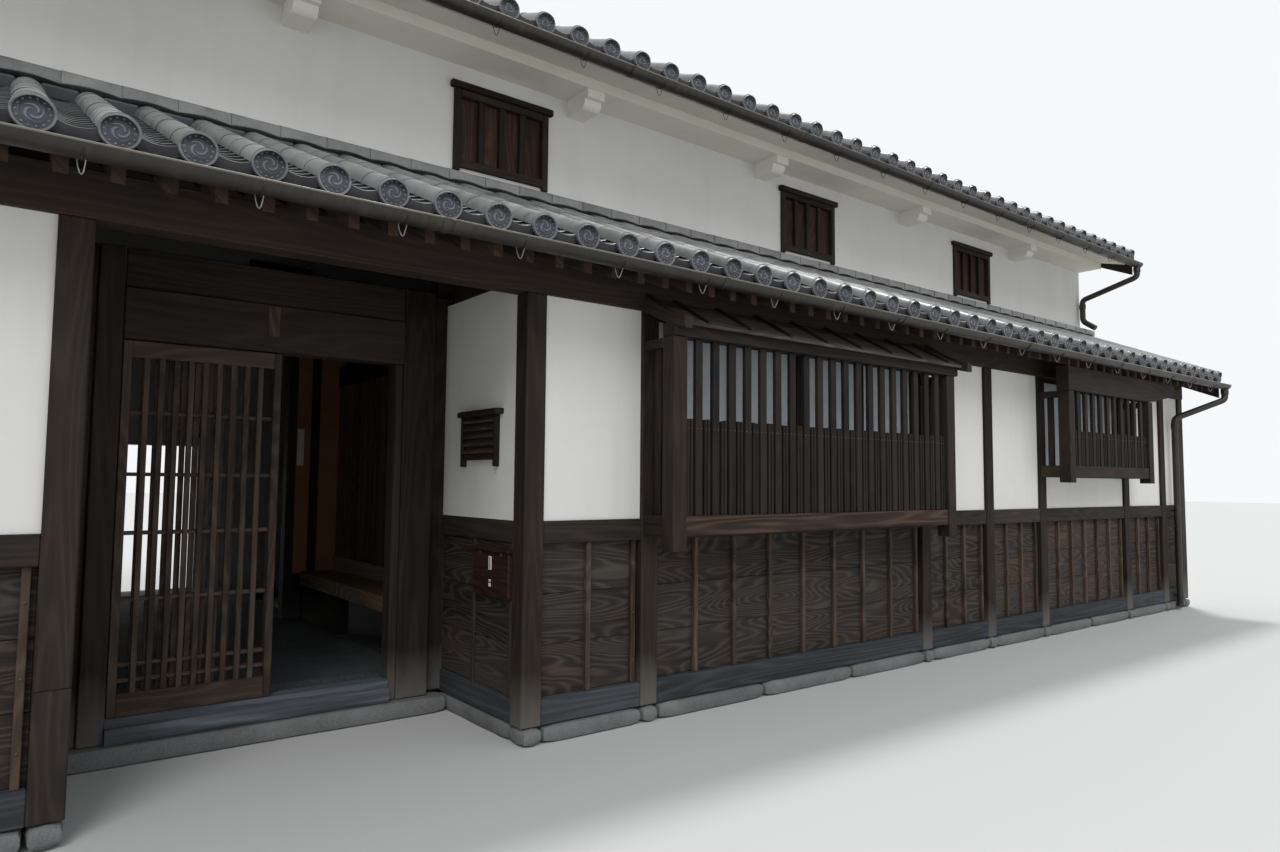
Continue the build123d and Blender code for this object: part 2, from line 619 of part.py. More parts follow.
def lattice_bars(x0, x1, rail_top, zone, beam_bottom, count):
    """Main bars to the beam, two thin bars to the zone line in each gap, and the cross rail behind them."""
    inner0 = x0 + LATTICE_POST
    inner1 = x1 - LATTICE_POST
    y0 = LATTICE_Y + BAR_INSET
    y1 = y0 + BAR_DEPTH
    step = (inner1 - inner0 + MAIN_BAR) / (count + 1)
    centres = [inner0 - MAIN_BAR / 2 + k * step for k in range(count + 2)]
    gap = (step - MAIN_BAR) / 3
    bars = [wide_block(x, MAIN_BAR, y0, y1, rail_top, beam_bottom) for x in centres[1:-1]]
    for x in centres[:-1]:
        for thin in (x + MAIN_BAR / 2 + gap, x + MAIN_BAR / 2 + 2 * gap):
            bars.append(wide_block(thin, THIN_BAR, y0, y1, rail_top, zone))
    z = zone - NUKI_DROP
    bars.append(block(inner0, inner1, y1, y1 + NUKI_DEPTH, z - NUKI_HEIGHT / 2, z + NUKI_HEIGHT / 2))
    return bars[0].fuse(*bars[1:])


def waney_rail(x0, x1, y0, y1, z0, z1):
    """A rail whose lower front edge keeps the log's round, deepest at two thirds of its length."""
    deepest = x0 + (x1 - x0) * 2 / 3
    cut = []
    for x, depth in ((x0, BAY_WANE / 4), (deepest, BAY_WANE), (x1, BAY_WANE / 2)):
        cut.append(Wire.make_polygon([Vector(x, y0, z0), Vector(x, y0 + depth, z0), Vector(x, y0, z0 + depth)],
                                     close=True))
    return block(x0, x1, y0, y1, z0, z1) - Solid.make_loft(cut, ruled=True)


def big_lattice():
    """The big bay's lattice box, its beam, and the board canopy with its carved arms."""
    x0 = BAY_LEFT_X - POST / 2
    x1 = BAY_RIGHT_X - LATTICE_EDGE
    y1 = LATTICE_Y + LATTICE_POST
    rail_top = BAY_RAIL_BOTTOM + BAY_RAIL_HEIGHT
    zone = rail_top + BAY_THIN_HEIGHT
    beam_bottom = zone + BAY_OPEN_HEIGHT
    frame = lattice_frame(x0, x1, BAY_RAIL_BOTTOM - BAY_FOOT_DROP, (BAY_RAIL_BOTTOM, rail_top),
                          (beam_bottom, BAY_BEAM_TOP))
    frame.append(waney_rail(x0 + LATTICE_POST, x1 - LATTICE_POST, LATTICE_Y + BEAM_PROUD, y1 - BEAM_PROUD,
                            BAY_RAIL_BOTTOM, rail_top))
    save("bay_lattice_bars", [lattice_bars(x0, x1, rail_top, zone, beam_bottom, BAY_BARS)])

    beam_y = LATTICE_Y - BEAM_PROUD
    rise = CANOPY_RISE / (BEAM_FACE_Y - beam_y)
    drip_y = beam_y - CANOPY_DRIP
    low = BAY_BEAM_TOP - CANOPY_DRIP * rise
    high = BAY_BEAM_TOP + CANOPY_RISE
    board_x0 = x0 + ARM_WIDTH
    board_x1 = x1 + LATTICE_EDGE
    board = prism_x([(drip_y, low), (BEAM_FACE_Y, high), (BEAM_FACE_Y, high + CANOPY_BOARD),
                     (drip_y, low + CANOPY_BOARD)], board_x0, board_x1)
    section = [(drip_y, low + CANOPY_BOARD), (BEAM_FACE_Y, high + CANOPY_BOARD),
               (BEAM_FACE_Y, high + CANOPY_BOARD + CANOPY_BATTEN_THICK),
               (drip_y, low + CANOPY_BOARD + CANOPY_BATTEN_THICK)]
    step = (board_x1 - board_x0) / CANOPY_BATTENS
    battens = []
    for k in range(CANOPY_BATTENS):
        x = board_x0 + (k + 0.5) * step
        battens.append(prism_x(section, x - CANOPY_BATTEN_WIDTH / 2, x + CANOPY_BATTEN_WIDTH / 2))
    arms = [carved_arm(x, drip_y - ARM_NOSE, low, high) for x in (x0, board_x1)]
    save("bay_canopy", [board.fuse(*battens), *arms])
    frame.append(block(x0, board_x1, beam_y, y1, beam_bottom, BAY_BEAM_TOP) - arms[0])
    save("bay_lattice_frame", frame)


def carved_arm(x, tip_y, low, high):
    """An arm that curves down and out from the long beam beside the end of the canopy."""
    top = (BEAM_FACE_Y, high + ARM_RISE)
    foot = (BEAM_FACE_Y, high + ARM_RISE - ARM_DEPTH)
    tip_top = (tip_y, low + ARM_RISE)
    tip_foot = (tip_y, low + ARM_RISE - ARM_TIP_DEPTH)
    upper = ((top[0] + tip_top[0]) / 2, (top[1] + tip_top[1]) / 2 - ARM_SAG)
    lower = ((foot[0] + tip_foot[0]) / 2, (foot[1] + tip_foot[1]) / 2 - ARM_SAG / 2)
    return profile_x([line(x, foot, top), arc(x, top, upper, tip_top), line(x, tip_top, tip_foot),
                      arc(x, tip_foot, lower, foot)], x, x + ARM_WIDTH)


def small_lattice():
    """The small bay's lattice box under a tapered beam that runs on to the right."""
    x0 = SMALL_LEFT_X - POST / 2
    x1 = SMALL_RIGHT_X - LATTICE_EDGE
    y1 = LATTICE_Y + LATTICE_POST
    rail_top = SMALL_RAIL_BOTTOM + SMALL_RAIL_HEIGHT
    zone = rail_top + SMALL_THIN_HEIGHT
    beam_bottom = zone + SMALL_OPEN_HEIGHT
    beam_top = pent_z(LATTICE_Y - BEAM_PROUD, PENT_UNDER) - SEAT
    frame = lattice_frame(x0, x1, SMALL_RAIL_BOTTOM - SMALL_FOOT_DROP, (SMALL_RAIL_BOTTOM, rail_top),
                          (beam_bottom, beam_top))
    frame.append(block(x0 + LATTICE_POST, x1 - LATTICE_POST, LATTICE_Y + BEAM_PROUD, y1 - BEAM_PROUD,
                       SMALL_RAIL_BOTTOM, rail_top))
    tail_x = x1 + SMALL_BEAM_TAIL
    frame.append(prism_y([(x0 - BAR_INSET, beam_bottom), (x1, beam_bottom), (tail_x, beam_bottom + SMALL_BEAM_TAPER),
                          (tail_x, beam_top), (x0 - BAR_INSET, beam_top)], LATTICE_Y - BEAM_PROUD, y1))
    save("small_lattice_frame", frame)
    save("small_lattice_bars", [lattice_bars(x0, x1, rail_top, zone, beam_bottom, SMALL_BARS)])


def tile_field(eave_y, eave_z, run, slope, direction):
    """Rows of round tiles over pans: one outline across the rows, drawn out up the slope."""
    bed = eave_z - ROLL_RADIUS
    pitch = 2 * ROOF_HALF / TILE_ROWS
    outline = [(-ROOF_HALF, 0.0)]
    for row in range(TILE_ROWS):
        x = -ROOF_HALF + (row + 0.5) * pitch
        for side in range(ROLL_SIDES + 1):
            turn = math.pi * side / ROLL_SIDES
            outline.append((x - ROLL_RADIUS * math.cos(turn), ROLL_RADIUS * math.sin(turn)))
    outline += [(ROOF_HALF, 0.0), (ROOF_HALF, -PAN_THICK), (-ROOF_HALF, -PAN_THICK)]
    wire = Wire.make_polygon([Vector(x, eave_y, bed + z) for x, z in outline], close=True)
    return Solid.extrude(Face(wire), Vector(0, direction * run, run * slope))


def roof_slab(y0, y1, z_of, top, bottom, x0, x1):
    """A sloping slab between two depths and two drops below the tile bed."""
    return prism_x([(y0, z_of(y0, top)), (y1, z_of(y1, top)), (y1, z_of(y1, bottom)), (y0, z_of(y0, bottom))],
                   x0, x1)


def verges(y0, y1, z_of, top):
    """Boards under both ends of a roof slope."""
    outer = ROOF_HALF - VERGE_SETBACK
    ends = ((-outer, -outer + VERGE_THICK), (outer - VERGE_THICK, outer))
    return [roof_slab(y0, y1, z_of, top, top + VERGE_HEIGHT, a, b) for a, b in ends]


def pent_roof():
    """Tiles, deck, verge boards, rafters and the plastered course where the roof meets the upper wall."""
    save("pent_tiles", [tile_field(PENT_EAVE_Y, PENT_EAVE_Z, MAIN_Y - PENT_EAVE_Y, PENT_SLOPE, 1)])
    outer = ROOF_HALF - VERGE_SETBACK
    eave = PENT_EAVE_Y + DECK_SETBACK
    deck = roof_slab(eave, MAIN_Y, pent_z, PENT_PAN, PENT_DECK, -outer, outer)
    save("pent_deck", [deck.fuse(*verges(eave, MAIN_Y, pent_z, PENT_DECK))])
    half = ROOF_HALF - RAFTER_MARGIN
    count = int(2 * half // RAFTER_PITCH)
    rafters = []
    for k in range(count + 1):
        x = (k - count / 2) * RAFTER_PITCH
        rafters.append(roof_slab(PENT_EAVE_Y + RAFTER_SETBACK, MAIN_Y, pent_z, PENT_DECK, PENT_UNDER,
                                 x - RAFTER_WIDTH / 2, x + RAFTER_WIDTH / 2))
    save("pent_rafters", rafters)
    edge = MAIN_Y - FLASHING_DEPTH
    save("pent_flashing", [prism_x([(edge, pent_z(edge) + ROLL_RADIUS), (MAIN_Y, pent_z(MAIN_Y) + ROLL_RADIUS),
                                    (MAIN_Y, FLASHING_TOP), (edge, FLASHING_TOP - FLASHING_FALL)],
                                   -ROOF_HALF, ROOF_HALF)])


def gutter_place(eave_y, eave_z, side, drop):
    """Middle of a gutter's rim beside an eave; side is -1 on the street side."""
    return eave_y + side * (GUTTER_REACH - GUTTER_RADIUS), eave_z - ROLL_RADIUS - PAN_THICK - drop


def gutter(eave_y, eave_z, side, drop):
    """A half-round gutter along an eave."""
    y, z = gutter_place(eave_y, eave_z, side, drop)
    x = -ROOF_HALF
    inner = GUTTER_RADIUS - GUTTER_WALL
    return profile_x([arc(x, (y - GUTTER_RADIUS, z), (y, z - GUTTER_RADIUS), (y + GUTTER_RADIUS, z)),
                      line(x, (y + GUTTER_RADIUS, z), (y + inner, z)),
                      arc(x, (y + inner, z), (y, z - inner), (y - inner, z)),
                      line(x, (y - inner, z), (y - GUTTER_RADIUS, z))], x, ROOF_HALF)


def gutters():
    """The three eave gutters and the straps that tie them to the roof deck."""
    save("gutters", [gutter(*eave) for eave in EAVES])
    hooks = []
    count = int(2 * ROOF_HALF // HOOK_PITCH)
    for eave_y, eave_z, side, drop in EAVES:
        y, z = gutter_place(eave_y, eave_z, side, drop)
        y0, y1 = sorted((y - side * GUTTER_RADIUS, eave_y - side * DECK_SETBACK))
        for k in range(count):
            x = (k - (count - 1) / 2) * HOOK_PITCH
            hooks.append(wide_block(x, HOOK_WIDTH, y0, y1, z - HOOK_THICK, z))
    save("gutter_hooks", hooks)


def pipe(points):
    """A round pipe with mitred elbows along a line of points, whose first run is upright."""
    path = Wire.make_polygon([Vector(*point) for point in points], close=False)
    start = Plane(origin=points[0], z_dir=(0, 0, -1))
    ring = Face(Wire.make_circle(PIPE_RADIUS, start), [Wire.make_circle(PIPE_RADIUS - PIPE_WALL, start)])
    return sweep(ring, path=path, transition=Transition.RIGHT)


def downpipes():
    """One pipe from the right end of each gutter, back to the wall and down, with clips where it has a wall."""
    outlet_x = ROOF_HALF - PIPE_END_INSET
    y, z = gutter_place(*EAVES[0])
    top = z - GUTTER_RADIUS
    pipe_x = RIGHT_END_X - LOWER_PIPE_INSET
    pipe_y = FRONT_Y - PIPE_STANDOFF
    elbow = top - OUTLET_LENGTH - LOWER_ELBOW_DROP
    pieces = [pipe([(outlet_x, y, top), (outlet_x, y, top - OUTLET_LENGTH), (pipe_x, pipe_y, elbow),
                    (pipe_x, pipe_y, PIPE_FOOT)])]
    pieces += clips(pipe_x, pipe_y + PIPE_RADIUS, FRONT_Y + SILL_INSET,
                    ((RAIL_BOTTOM + RAIL_TOP) / 2, (PLINTH_HEIGHT + SILL_TOP) / 2))

    y, z = gutter_place(*EAVES[1])
    top = z - GUTTER_RADIUS
    pipe_x = END_FACE_X - UPPER_PIPE_INSET
    pipe_y = MAIN_Y - PIPE_STANDOFF
    elbow = top - OUTLET_LENGTH - UPPER_ELBOW_DROP
    shoe = FLASHING_TOP + SHOE_CLEAR
    pieces.append(pipe([(outlet_x, y, top), (outlet_x, y, top - OUTLET_LENGTH), (pipe_x, pipe_y, elbow),
                        (pipe_x, pipe_y, shoe), (pipe_x, pipe_y - SHOE_REACH, shoe - SHOE_FALL)]))

    y, z = gutter_place(*EAVES[2])
    pipe_y = REAR_Y + PIPE_STANDOFF
    pieces.append(pipe([(outlet_x, y, top), (outlet_x, y, top - OUTLET_LENGTH), (pipe_x, pipe_y, elbow),
                        (pipe_x, pipe_y, PIPE_FOOT)]))
    pieces += clips(pipe_x, REAR_Y, pipe_y - PIPE_RADIUS, (RAIL_TOP, BEAM_TOP))
    save("downpipes", pieces)


def clips(x, y0, y1, heights):
    """Small blocks that hold an upright pipe off its wall."""
    return [wide_block(x, CLIP_WIDTH, y0, y1, z - CLIP_THICK / 2, z + CLIP_THICK / 2) for z in heights]


def outer_wall(face, side, low, doorway):
    """A long wall with three windows: pieces between and just under them, and a doorway where it has one."""
    half = UPPER_WINDOW_WIDTH / 2
    inside = END_FACE_X - WALL_THICK
    y0, y1 = sorted((face, face + side * WALL_THICK))
    edges = [-inside]
    for x in UPPER_WINDOW_X:
        edges += [x - half, x + half]
    edges.append(inside)
    pieces = [block(a, b, y0, y1, FLASHING_TOP, UPPER_WINDOW_TOP) for a, b in zip(edges[::2], edges[1::2])]
    pieces += [wide_block(x, 2 * (half - UPPER_WINDOW_EDGE), y0, y1, FLASHING_TOP, UPPER_WINDOW_BOTTOM)
               for x in UPPER_WINDOW_X]
    pieces.append(prism_x([(y0, UPPER_WINDOW_TOP), (y1, UPPER_WINDOW_TOP), (y1, main_z(y1, MAIN_DECK)),
                           (y0, main_z(y0, MAIN_DECK))], -inside, inside))
    pieces.append(block(-inside, inside, y0, y1, low, FLASHING_TOP))
    for a, b in zip((-inside, *doorway[1::2]), (*doorway[::2], inside)) if doorway else ():
        pieces.append(block(a, b, y0, y1, PLINTH_HEIGHT, low))
    return pieces


def walls():
    """The main body's walls: front over the pent roof, rear, the two plain gables and the inner frame."""
    save("upper_front_wall", outer_wall(MAIN_Y, 1, FRAME_TOP, ()))
    save("rear_wall", outer_wall(REAR_Y, -1, REAR_DOOR_TOP, (REAR_DOOR_LEFT, REAR_DOOR_RIGHT)))
    inside = END_FACE_X - WALL_THICK
    front = FRONT_Y + POST
    outline = [(front, PLINTH_HEIGHT), (REAR_Y, PLINTH_HEIGHT), (REAR_Y, main_z(REAR_Y, MAIN_DECK)),
               (RIDGE_Y, main_z(RIDGE_Y, MAIN_DECK)), (MAIN_Y, main_z(MAIN_Y, MAIN_DECK)),
               (MAIN_Y, pent_z(MAIN_Y, PENT_UNDER)), (front, pent_z(front, PENT_UNDER))]
    save("left_gable_wall", [prism_x(outline, -END_FACE_X, -inside)])
    save("right_gable_wall", [prism_x(outline, inside, END_FACE_X)])
    frame = [block(-inside, inside, MAIN_Y, MAIN_Y + WALL_THICK, FRAME_BOTTOM, FRAME_TOP)]
    frame += [wide_block(x, POST, MAIN_Y + BEAM_PROUD, MAIN_Y + BEAM_PROUD + POST, PLINTH_HEIGHT, FRAME_BOTTOM)
              for x in MAIN_POSTS]
    save("main_frame", frame)


def upper_front():
    """Soffit, brackets, window frames and shutters of the upper storey, the same on both sides."""
    soffits = []
    brackets = []
    frames = []
    shutters = []
    for wall_y, side in ((MAIN_Y, -1), (REAR_Y, 1)):
        soffits.append(soffit(wall_y, side))
        brackets += [bracket(x, wall_y, side) for x in BRACKET_X]
        frames += [window_frame(x, wall_y, side) for x in UPPER_WINDOW_X]
        shutters += [shutter(x, wall_y, side) for x in UPPER_WINDOW_X]
    save("eave_soffits", soffits)
    save("eave_brackets", brackets)
    save("upper_window_frames", frames)
    save("upper_shutters", shutters)


def soffit(wall_y, side):
    """Plastered underside of an eave: level beside the wall, a step, then up to the eave's edge."""
    step_y = wall_y + side * SOFFIT_REACH
    edge = wall_y + side * (MAIN_OVERHANG - 2 * DECK_SETBACK)
    return prism_x([(wall_y, SOFFIT_Z), (step_y, SOFFIT_Z), (step_y, SOFFIT_Z + SOFFIT_STEP),
                    (edge, main_z(edge, MAIN_DECK + SOFFIT_EDGE)), (edge, main_z(edge, MAIN_DECK)),
                    (wall_y, main_z(wall_y, MAIN_DECK))], -END_FACE_X, END_FACE_X)


def bracket(x, wall_y, side):
    """A plastered bracket under the soffit: a flat sole with a stepped and rounded nose."""
    low = SOFFIT_Z - BRACKET_HEIGHT
    tip = wall_y + side * BRACKET_REACH
    step = tip - side * BRACKET_NOSE
    sole = tip - side * 2 * BRACKET_NOSE
    middle = low + BRACKET_HEIGHT / 2
    bend = (sole + side * BRACKET_NOSE * 0.7, low + BRACKET_HEIGHT * 0.15)
    x0 = x - BRACKET_WIDTH / 2
    return profile_x([line(x0, (wall_y, SOFFIT_Z), (wall_y, low)), line(x0, (wall_y, low), (sole, low)),
                      arc(x0, (sole, low), bend, (step, middle)), line(x0, (step, middle), (tip, middle)),
                      line(x0, (tip, middle), (tip, SOFFIT_Z)), line(x0, (tip, SOFFIT_Z), (wall_y, SOFFIT_Z))],
                     x0, x0 + BRACKET_WIDTH)


def window_frame(x, wall_y, side):
    """A window's frame, its posts run down past the bottom rail, under a head board that stands out."""
    half = UPPER_WINDOW_WIDTH / 2
    y0, y1 = sorted((wall_y + side * UPPER_WINDOW_PROUD, wall_y + side * (UPPER_WINDOW_PROUD - UPPER_WINDOW_DEPTH)))
    head0, head1 = sorted((wall_y, wall_y + side * UPPER_HEAD_PROUD))
    outer = block(x - half, x + half, y0, y1, FLASHING_TOP, UPPER_WINDOW_TOP)
    clear = 2 * (half - UPPER_WINDOW_EDGE)
    inner = wide_block(x, clear, y0, y1, UPPER_WINDOW_BOTTOM + UPPER_WINDOW_RAIL, UPPER_WINDOW_TOP - UPPER_WINDOW_EDGE)
    under = wide_block(x, clear, y0, y1, FLASHING_TOP, UPPER_WINDOW_BOTTOM)
    head = block(x - half - UPPER_HEAD_SPREAD, x + half + UPPER_HEAD_SPREAD, head0, head1, UPPER_WINDOW_TOP,
                 UPPER_WINDOW_TOP + UPPER_HEAD_HEIGHT)
    return (outer - inner - under).fuse(head)


def shutter(x, wall_y, side):
    """The closed board shutter inside a window's frame."""
    half = UPPER_WINDOW_WIDTH / 2 - UPPER_WINDOW_EDGE
    y0, y1 = sorted((wall_y - side * SHUTTER_INSET, wall_y - side * (SHUTTER_INSET + SHUTTER_THICK)))
    return block(x - half, x + half, y0, y1, UPPER_WINDOW_BOTTOM + UPPER_WINDOW_RAIL,
                 UPPER_WINDOW_TOP - UPPER_WINDOW_EDGE)


def main_roof():
    """Tiles and decks of both slopes, and the ridge over them."""
    run = RIDGE_Y - MAIN_EAVE_Y
    save("main_tiles_front", [tile_field(MAIN_EAVE_Y, MAIN_EAVE_Z, run, MAIN_SLOPE, 1)])
    save("main_tiles_rear", [tile_field(REAR_EAVE_Y, MAIN_EAVE_Z, run, MAIN_SLOPE, -1)])
    outer = ROOF_HALF - VERGE_SETBACK
    decks = []
    for eave_y, side in ((MAIN_EAVE_Y, 1), (REAR_EAVE_Y, -1)):
        edge = eave_y + side * DECK_SETBACK
        deck = roof_slab(edge, RIDGE_Y, main_z, MAIN_PAN, MAIN_DECK, -outer, outer)
        decks.append(deck.fuse(*verges(edge, RIDGE_Y, main_z, MAIN_DECK)))
    save("main_roof_deck", decks)
    save("main_ridge", [ridge(), *ridge_ends()])


def ridge():
    """Stepped courses of flat tiles that sit astride the rolls, under a round cap."""
    outer = ROOF_HALF - END_TILE_SETBACK - END_TILE_THICK
    base = main_z(RIDGE_Y) + ROLL_RADIUS
    skirt = main_z(RIDGE_Y - RIDGE_HALF) + ROLL_RADIUS
    side = []
    for course in range(RIDGE_COURSES):
        half = RIDGE_HALF - course * COURSE_STEP
        low = skirt if course == 0 else base + course * COURSE_HEIGHT
        side += [(half, low), (half, base + (course + 1) * COURSE_HEIGHT)]
    top = side[-1][1]
    right = [(RIDGE_Y + y, z) for y, z in side] + [(RIDGE_Y + CAP_RADIUS, top)]
    left = [(2 * RIDGE_Y - y, z) for y, z in right[::-1]]
    edges = [line(-outer, a, b) for a, b in zip([(RIDGE_Y, base)] + right[:-1], right)]
    edges.append(arc(-outer, right[-1], (RIDGE_Y, top + CAP_RADIUS), left[0]))
    edges += [line(-outer, a, b) for a, b in zip(left, left[1:] + [(RIDGE_Y, base)])]
    return profile_x(edges, -outer, outer)


def ridge_ends():
    """A rounded end plate at each end of the ridge, standing on the end rolls."""
    base = main_z(RIDGE_Y - END_TILE_HALF) + ROLL_RADIUS
    crown = main_z(RIDGE_Y) + ROLL_RADIUS + RIDGE_COURSES * COURSE_HEIGHT + CAP_RADIUS
    shoulder = (base + crown) / 2
    left = RIDGE_Y - END_TILE_HALF
    right = RIDGE_Y + END_TILE_HALF
    plates = []
    for x in (-ROOF_HALF + END_TILE_SETBACK, ROOF_HALF - END_TILE_SETBACK - END_TILE_THICK):
        plates.append(profile_x([line(x, (left, base), (RIDGE_Y, main_z(RIDGE_Y) + ROLL_RADIUS)),
                                 line(x, (RIDGE_Y, main_z(RIDGE_Y) + ROLL_RADIUS), (right, base)),
                                 line(x, (right, base), (right, shoulder)),
                                 arc(x, (right, shoulder), (RIDGE_Y, crown + END_TILE_RISE), (left, shoulder)),
                                 line(x, (left, shoulder), (left, base))], x, x + END_TILE_THICK))
    return plates


def interior():
    """What shows through the entrance: earth floor, raised floor, clay partition and plank wall."""
    save("passage_floor", [block(GATE_LEFT_X + POST / 2, RAISED_EDGE_X, DOOR_REAR_Y, MAIN_Y, 0, EARTH_FLOOR_Z),
                           block(-END_FACE_X + WALL_THICK + FLOOR_GAP, RAISED_EDGE_X, INNER_Y,
                                 REAR_Y - WALL_THICK - FLOOR_GAP, 0, EARTH_FLOOR_Z)])
    joist_z = RAISED_FLOOR_Z - RAISED_BEAM
    legs = [block(x, x + RAISED_LEG, y, y + RAISED_LEG, 0, joist_z)
            for x in (RAISED_EDGE_X, RAISED_END_X - RAISED_LEG) for y in (INNER_Y, PARTITION_Y - RAISED_LEG)]
    beams = [block(x, x + RAISED_BEAM, INNER_Y, PARTITION_Y, joist_z, RAISED_FLOOR_Z)
             for x in (RAISED_EDGE_X, RAISED_END_X - RAISED_BEAM)]
    floor = [block(RAISED_EDGE_X + RAISED_BEAM, RAISED_END_X - RAISED_BEAM, INNER_Y, PARTITION_Y,
                   RAISED_FLOOR_Z - RAISED_BOARD, RAISED_FLOOR_Z)]
    sill_x = RAISED_EDGE_X + STEP_SILL_INSET
    sill_top = RAISED_FLOOR_Z + STEP_SILL_HEIGHT
    floor.append(block(sill_x, sill_x + STEP_SILL_WIDTH, INNER_Y, PARTITION_Y, RAISED_FLOOR_Z, sill_top))
    save("raised_floor", legs + beams + floor)

    posts = [RAISED_EDGE_X + offset for offset in PARTITION_POSTS]
    panel_y = PARTITION_Y + PARTITION_INSET
    partition = [block(x, x + PARTITION_POST, PARTITION_Y, PARTITION_Y + POST, foot, FRAME_BOTTOM)
                 for x, foot in zip(posts, (EARTH_FLOOR_Z, 0, 0))]
    for a, b, foot in zip(posts, posts[1:], (EARTH_FLOOR_Z, 0)):
        partition.append(block(a + PARTITION_POST, b, panel_y, panel_y + PARTITION_THICK, foot, FRAME_BOTTOM))
    save("clay_partition", partition)

    plank_x = sill_x + PLANK_INSET
    plank_y = PARTITION_Y - PLANK_LENGTH
    head_top = PLANK_HEAD_BOTTOM + PLANK_HEAD
    stile = block(sill_x, sill_x + PLANK_STILE, plank_y - PLANK_STILE, plank_y, sill_top, head_top)
    planks = block(plank_x, plank_x + PLANK_THICK, plank_y, PARTITION_Y, sill_top, PLANK_HEAD_BOTTOM)
    head = block(sill_x, sill_x + PLANK_STILE, plank_y, PARTITION_Y, PLANK_HEAD_BOTTOM, head_top)
    save("plank_wall", [stile, planks, head])


foundation()
front_frame()
wainscot()
front_plaster()
porch()
porch_fittings()
doors()
big_lattice()
small_lattice()
pent_roof()
gutters()
downpipes()
walls()
upper_front()
main_roof()
interior()
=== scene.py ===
"""Looks for the townhouse: timbers, boards, tiles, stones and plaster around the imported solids."""

import functools
import math
import random

import bpy
import numpy as np
from mathutils import Matrix, Vector


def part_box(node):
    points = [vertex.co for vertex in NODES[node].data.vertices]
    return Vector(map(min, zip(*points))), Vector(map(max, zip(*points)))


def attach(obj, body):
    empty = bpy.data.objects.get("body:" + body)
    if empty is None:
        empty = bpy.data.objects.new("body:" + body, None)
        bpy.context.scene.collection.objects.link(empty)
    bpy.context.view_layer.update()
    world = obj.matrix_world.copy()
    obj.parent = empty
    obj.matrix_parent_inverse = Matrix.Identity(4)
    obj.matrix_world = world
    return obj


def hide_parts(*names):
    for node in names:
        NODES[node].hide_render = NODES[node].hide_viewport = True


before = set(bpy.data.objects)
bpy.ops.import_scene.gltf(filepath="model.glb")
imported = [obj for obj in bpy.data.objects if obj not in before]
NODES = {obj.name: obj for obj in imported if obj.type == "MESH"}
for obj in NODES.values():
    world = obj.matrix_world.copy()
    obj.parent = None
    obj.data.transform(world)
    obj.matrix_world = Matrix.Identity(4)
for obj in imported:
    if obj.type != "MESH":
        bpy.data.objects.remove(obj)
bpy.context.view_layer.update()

# Sizes that the solids share, in metres
PENT_SLOPE = 0.43
MAIN_SLOPE = 0.45
ROLL = 0.072
PAN_THICK = 0.03
ROWS = 51
BODY = "house"

# Parts of a piece lie this far apart in its UV layer, in metres, at one of so many places
PART_SPAN = 20.0
PART_TONES = 60

# The way that the street front faces
STREET = (0, -1, 0)


def solids(node):
    """Lowest and highest corner of each solid of a CAD node, from left to right, also where solids touch."""
    mesh = NODES[node].data
    co = np.empty(len(mesh.vertices) * 3, np.float32)
    mesh.vertices.foreach_get("co", co)
    co = co.reshape(-1, 3)
    _, weld = np.unique(np.round(co, 4), axis=0, return_inverse=True)
    weld = weld.reshape(-1)
    sides = {}
    for polygon in mesh.polygons:
        ring = [int(weld[v]) for v in polygon.vertices]
        for start, end in zip(ring, ring[1:] + ring[:1]):
            sides.setdefault((min(start, end), max(start, end)), []).append(polygon.index)
    group = list(range(len(mesh.polygons)))

    def find(a):
        while group[a] != a:
            group[a] = group[group[a]]
            a = group[a]
        return a

    for faces in sides.values():
        if len(faces) == 2:
            group[find(faces[0])] = find(faces[1])
    members = {}
    for polygon in mesh.polygons:
        members.setdefault(find(polygon.index), set()).update(polygon.vertices)
    boxes = []
    for vertices in members.values():
        points = co[list(vertices)]
        lo, hi = points.min(0), points.max(0)
        if (hi - lo).min() > 0.001:
            boxes.append((Vector(lo), Vector(hi)))
    return sorted(boxes, key=lambda box: (round(box[0].x, 3), round(box[0].y, 3), box[0].z))


def chamfer_cube():
    """A cube with cut edges: each vertex as (corner, face axis), and its faces."""
    verts = [(corner, axis) for corner in range(8) for axis in range(3)]
    index = {v: i for i, v in enumerate(verts)}
    sign = [tuple(1 if corner >> a & 1 else -1 for a in range(3)) for corner in range(8)]
    faces = []
    for axis in range(3):
        for side in (-1, 1):
            ring = [c for c in range(8) if sign[c][axis] == side]
            a, b = (axis + 1) % 3, (axis + 2) % 3
            ring.sort(key=lambda c: math.atan2(sign[c][b], sign[c][a]) * side)
            faces.append([index[(c, axis)] for c in ring])
    for axis in range(3):
        a, b = (axis + 1) % 3, (axis + 2) % 3
        for c in range(8):
            if sign[c][axis] == -1:
                d = c | 1 << axis
                quad = [index[(c, a)], index[(d, a)], index[(d, b)], index[(c, b)]]
                faces.append(quad if sign[c][a] * sign[c][b] > 0 else quad[::-1])
    for c in range(8):
        tri = [index[(c, 0)], index[(c, 1)], index[(c, 2)]]
        faces.append(tri if sign[c][0] * sign[c][1] * sign[c][2] > 0 else tri[::-1])
    return verts, faces


CUBE_VERTS, CUBE_FACES = chamfer_cube()


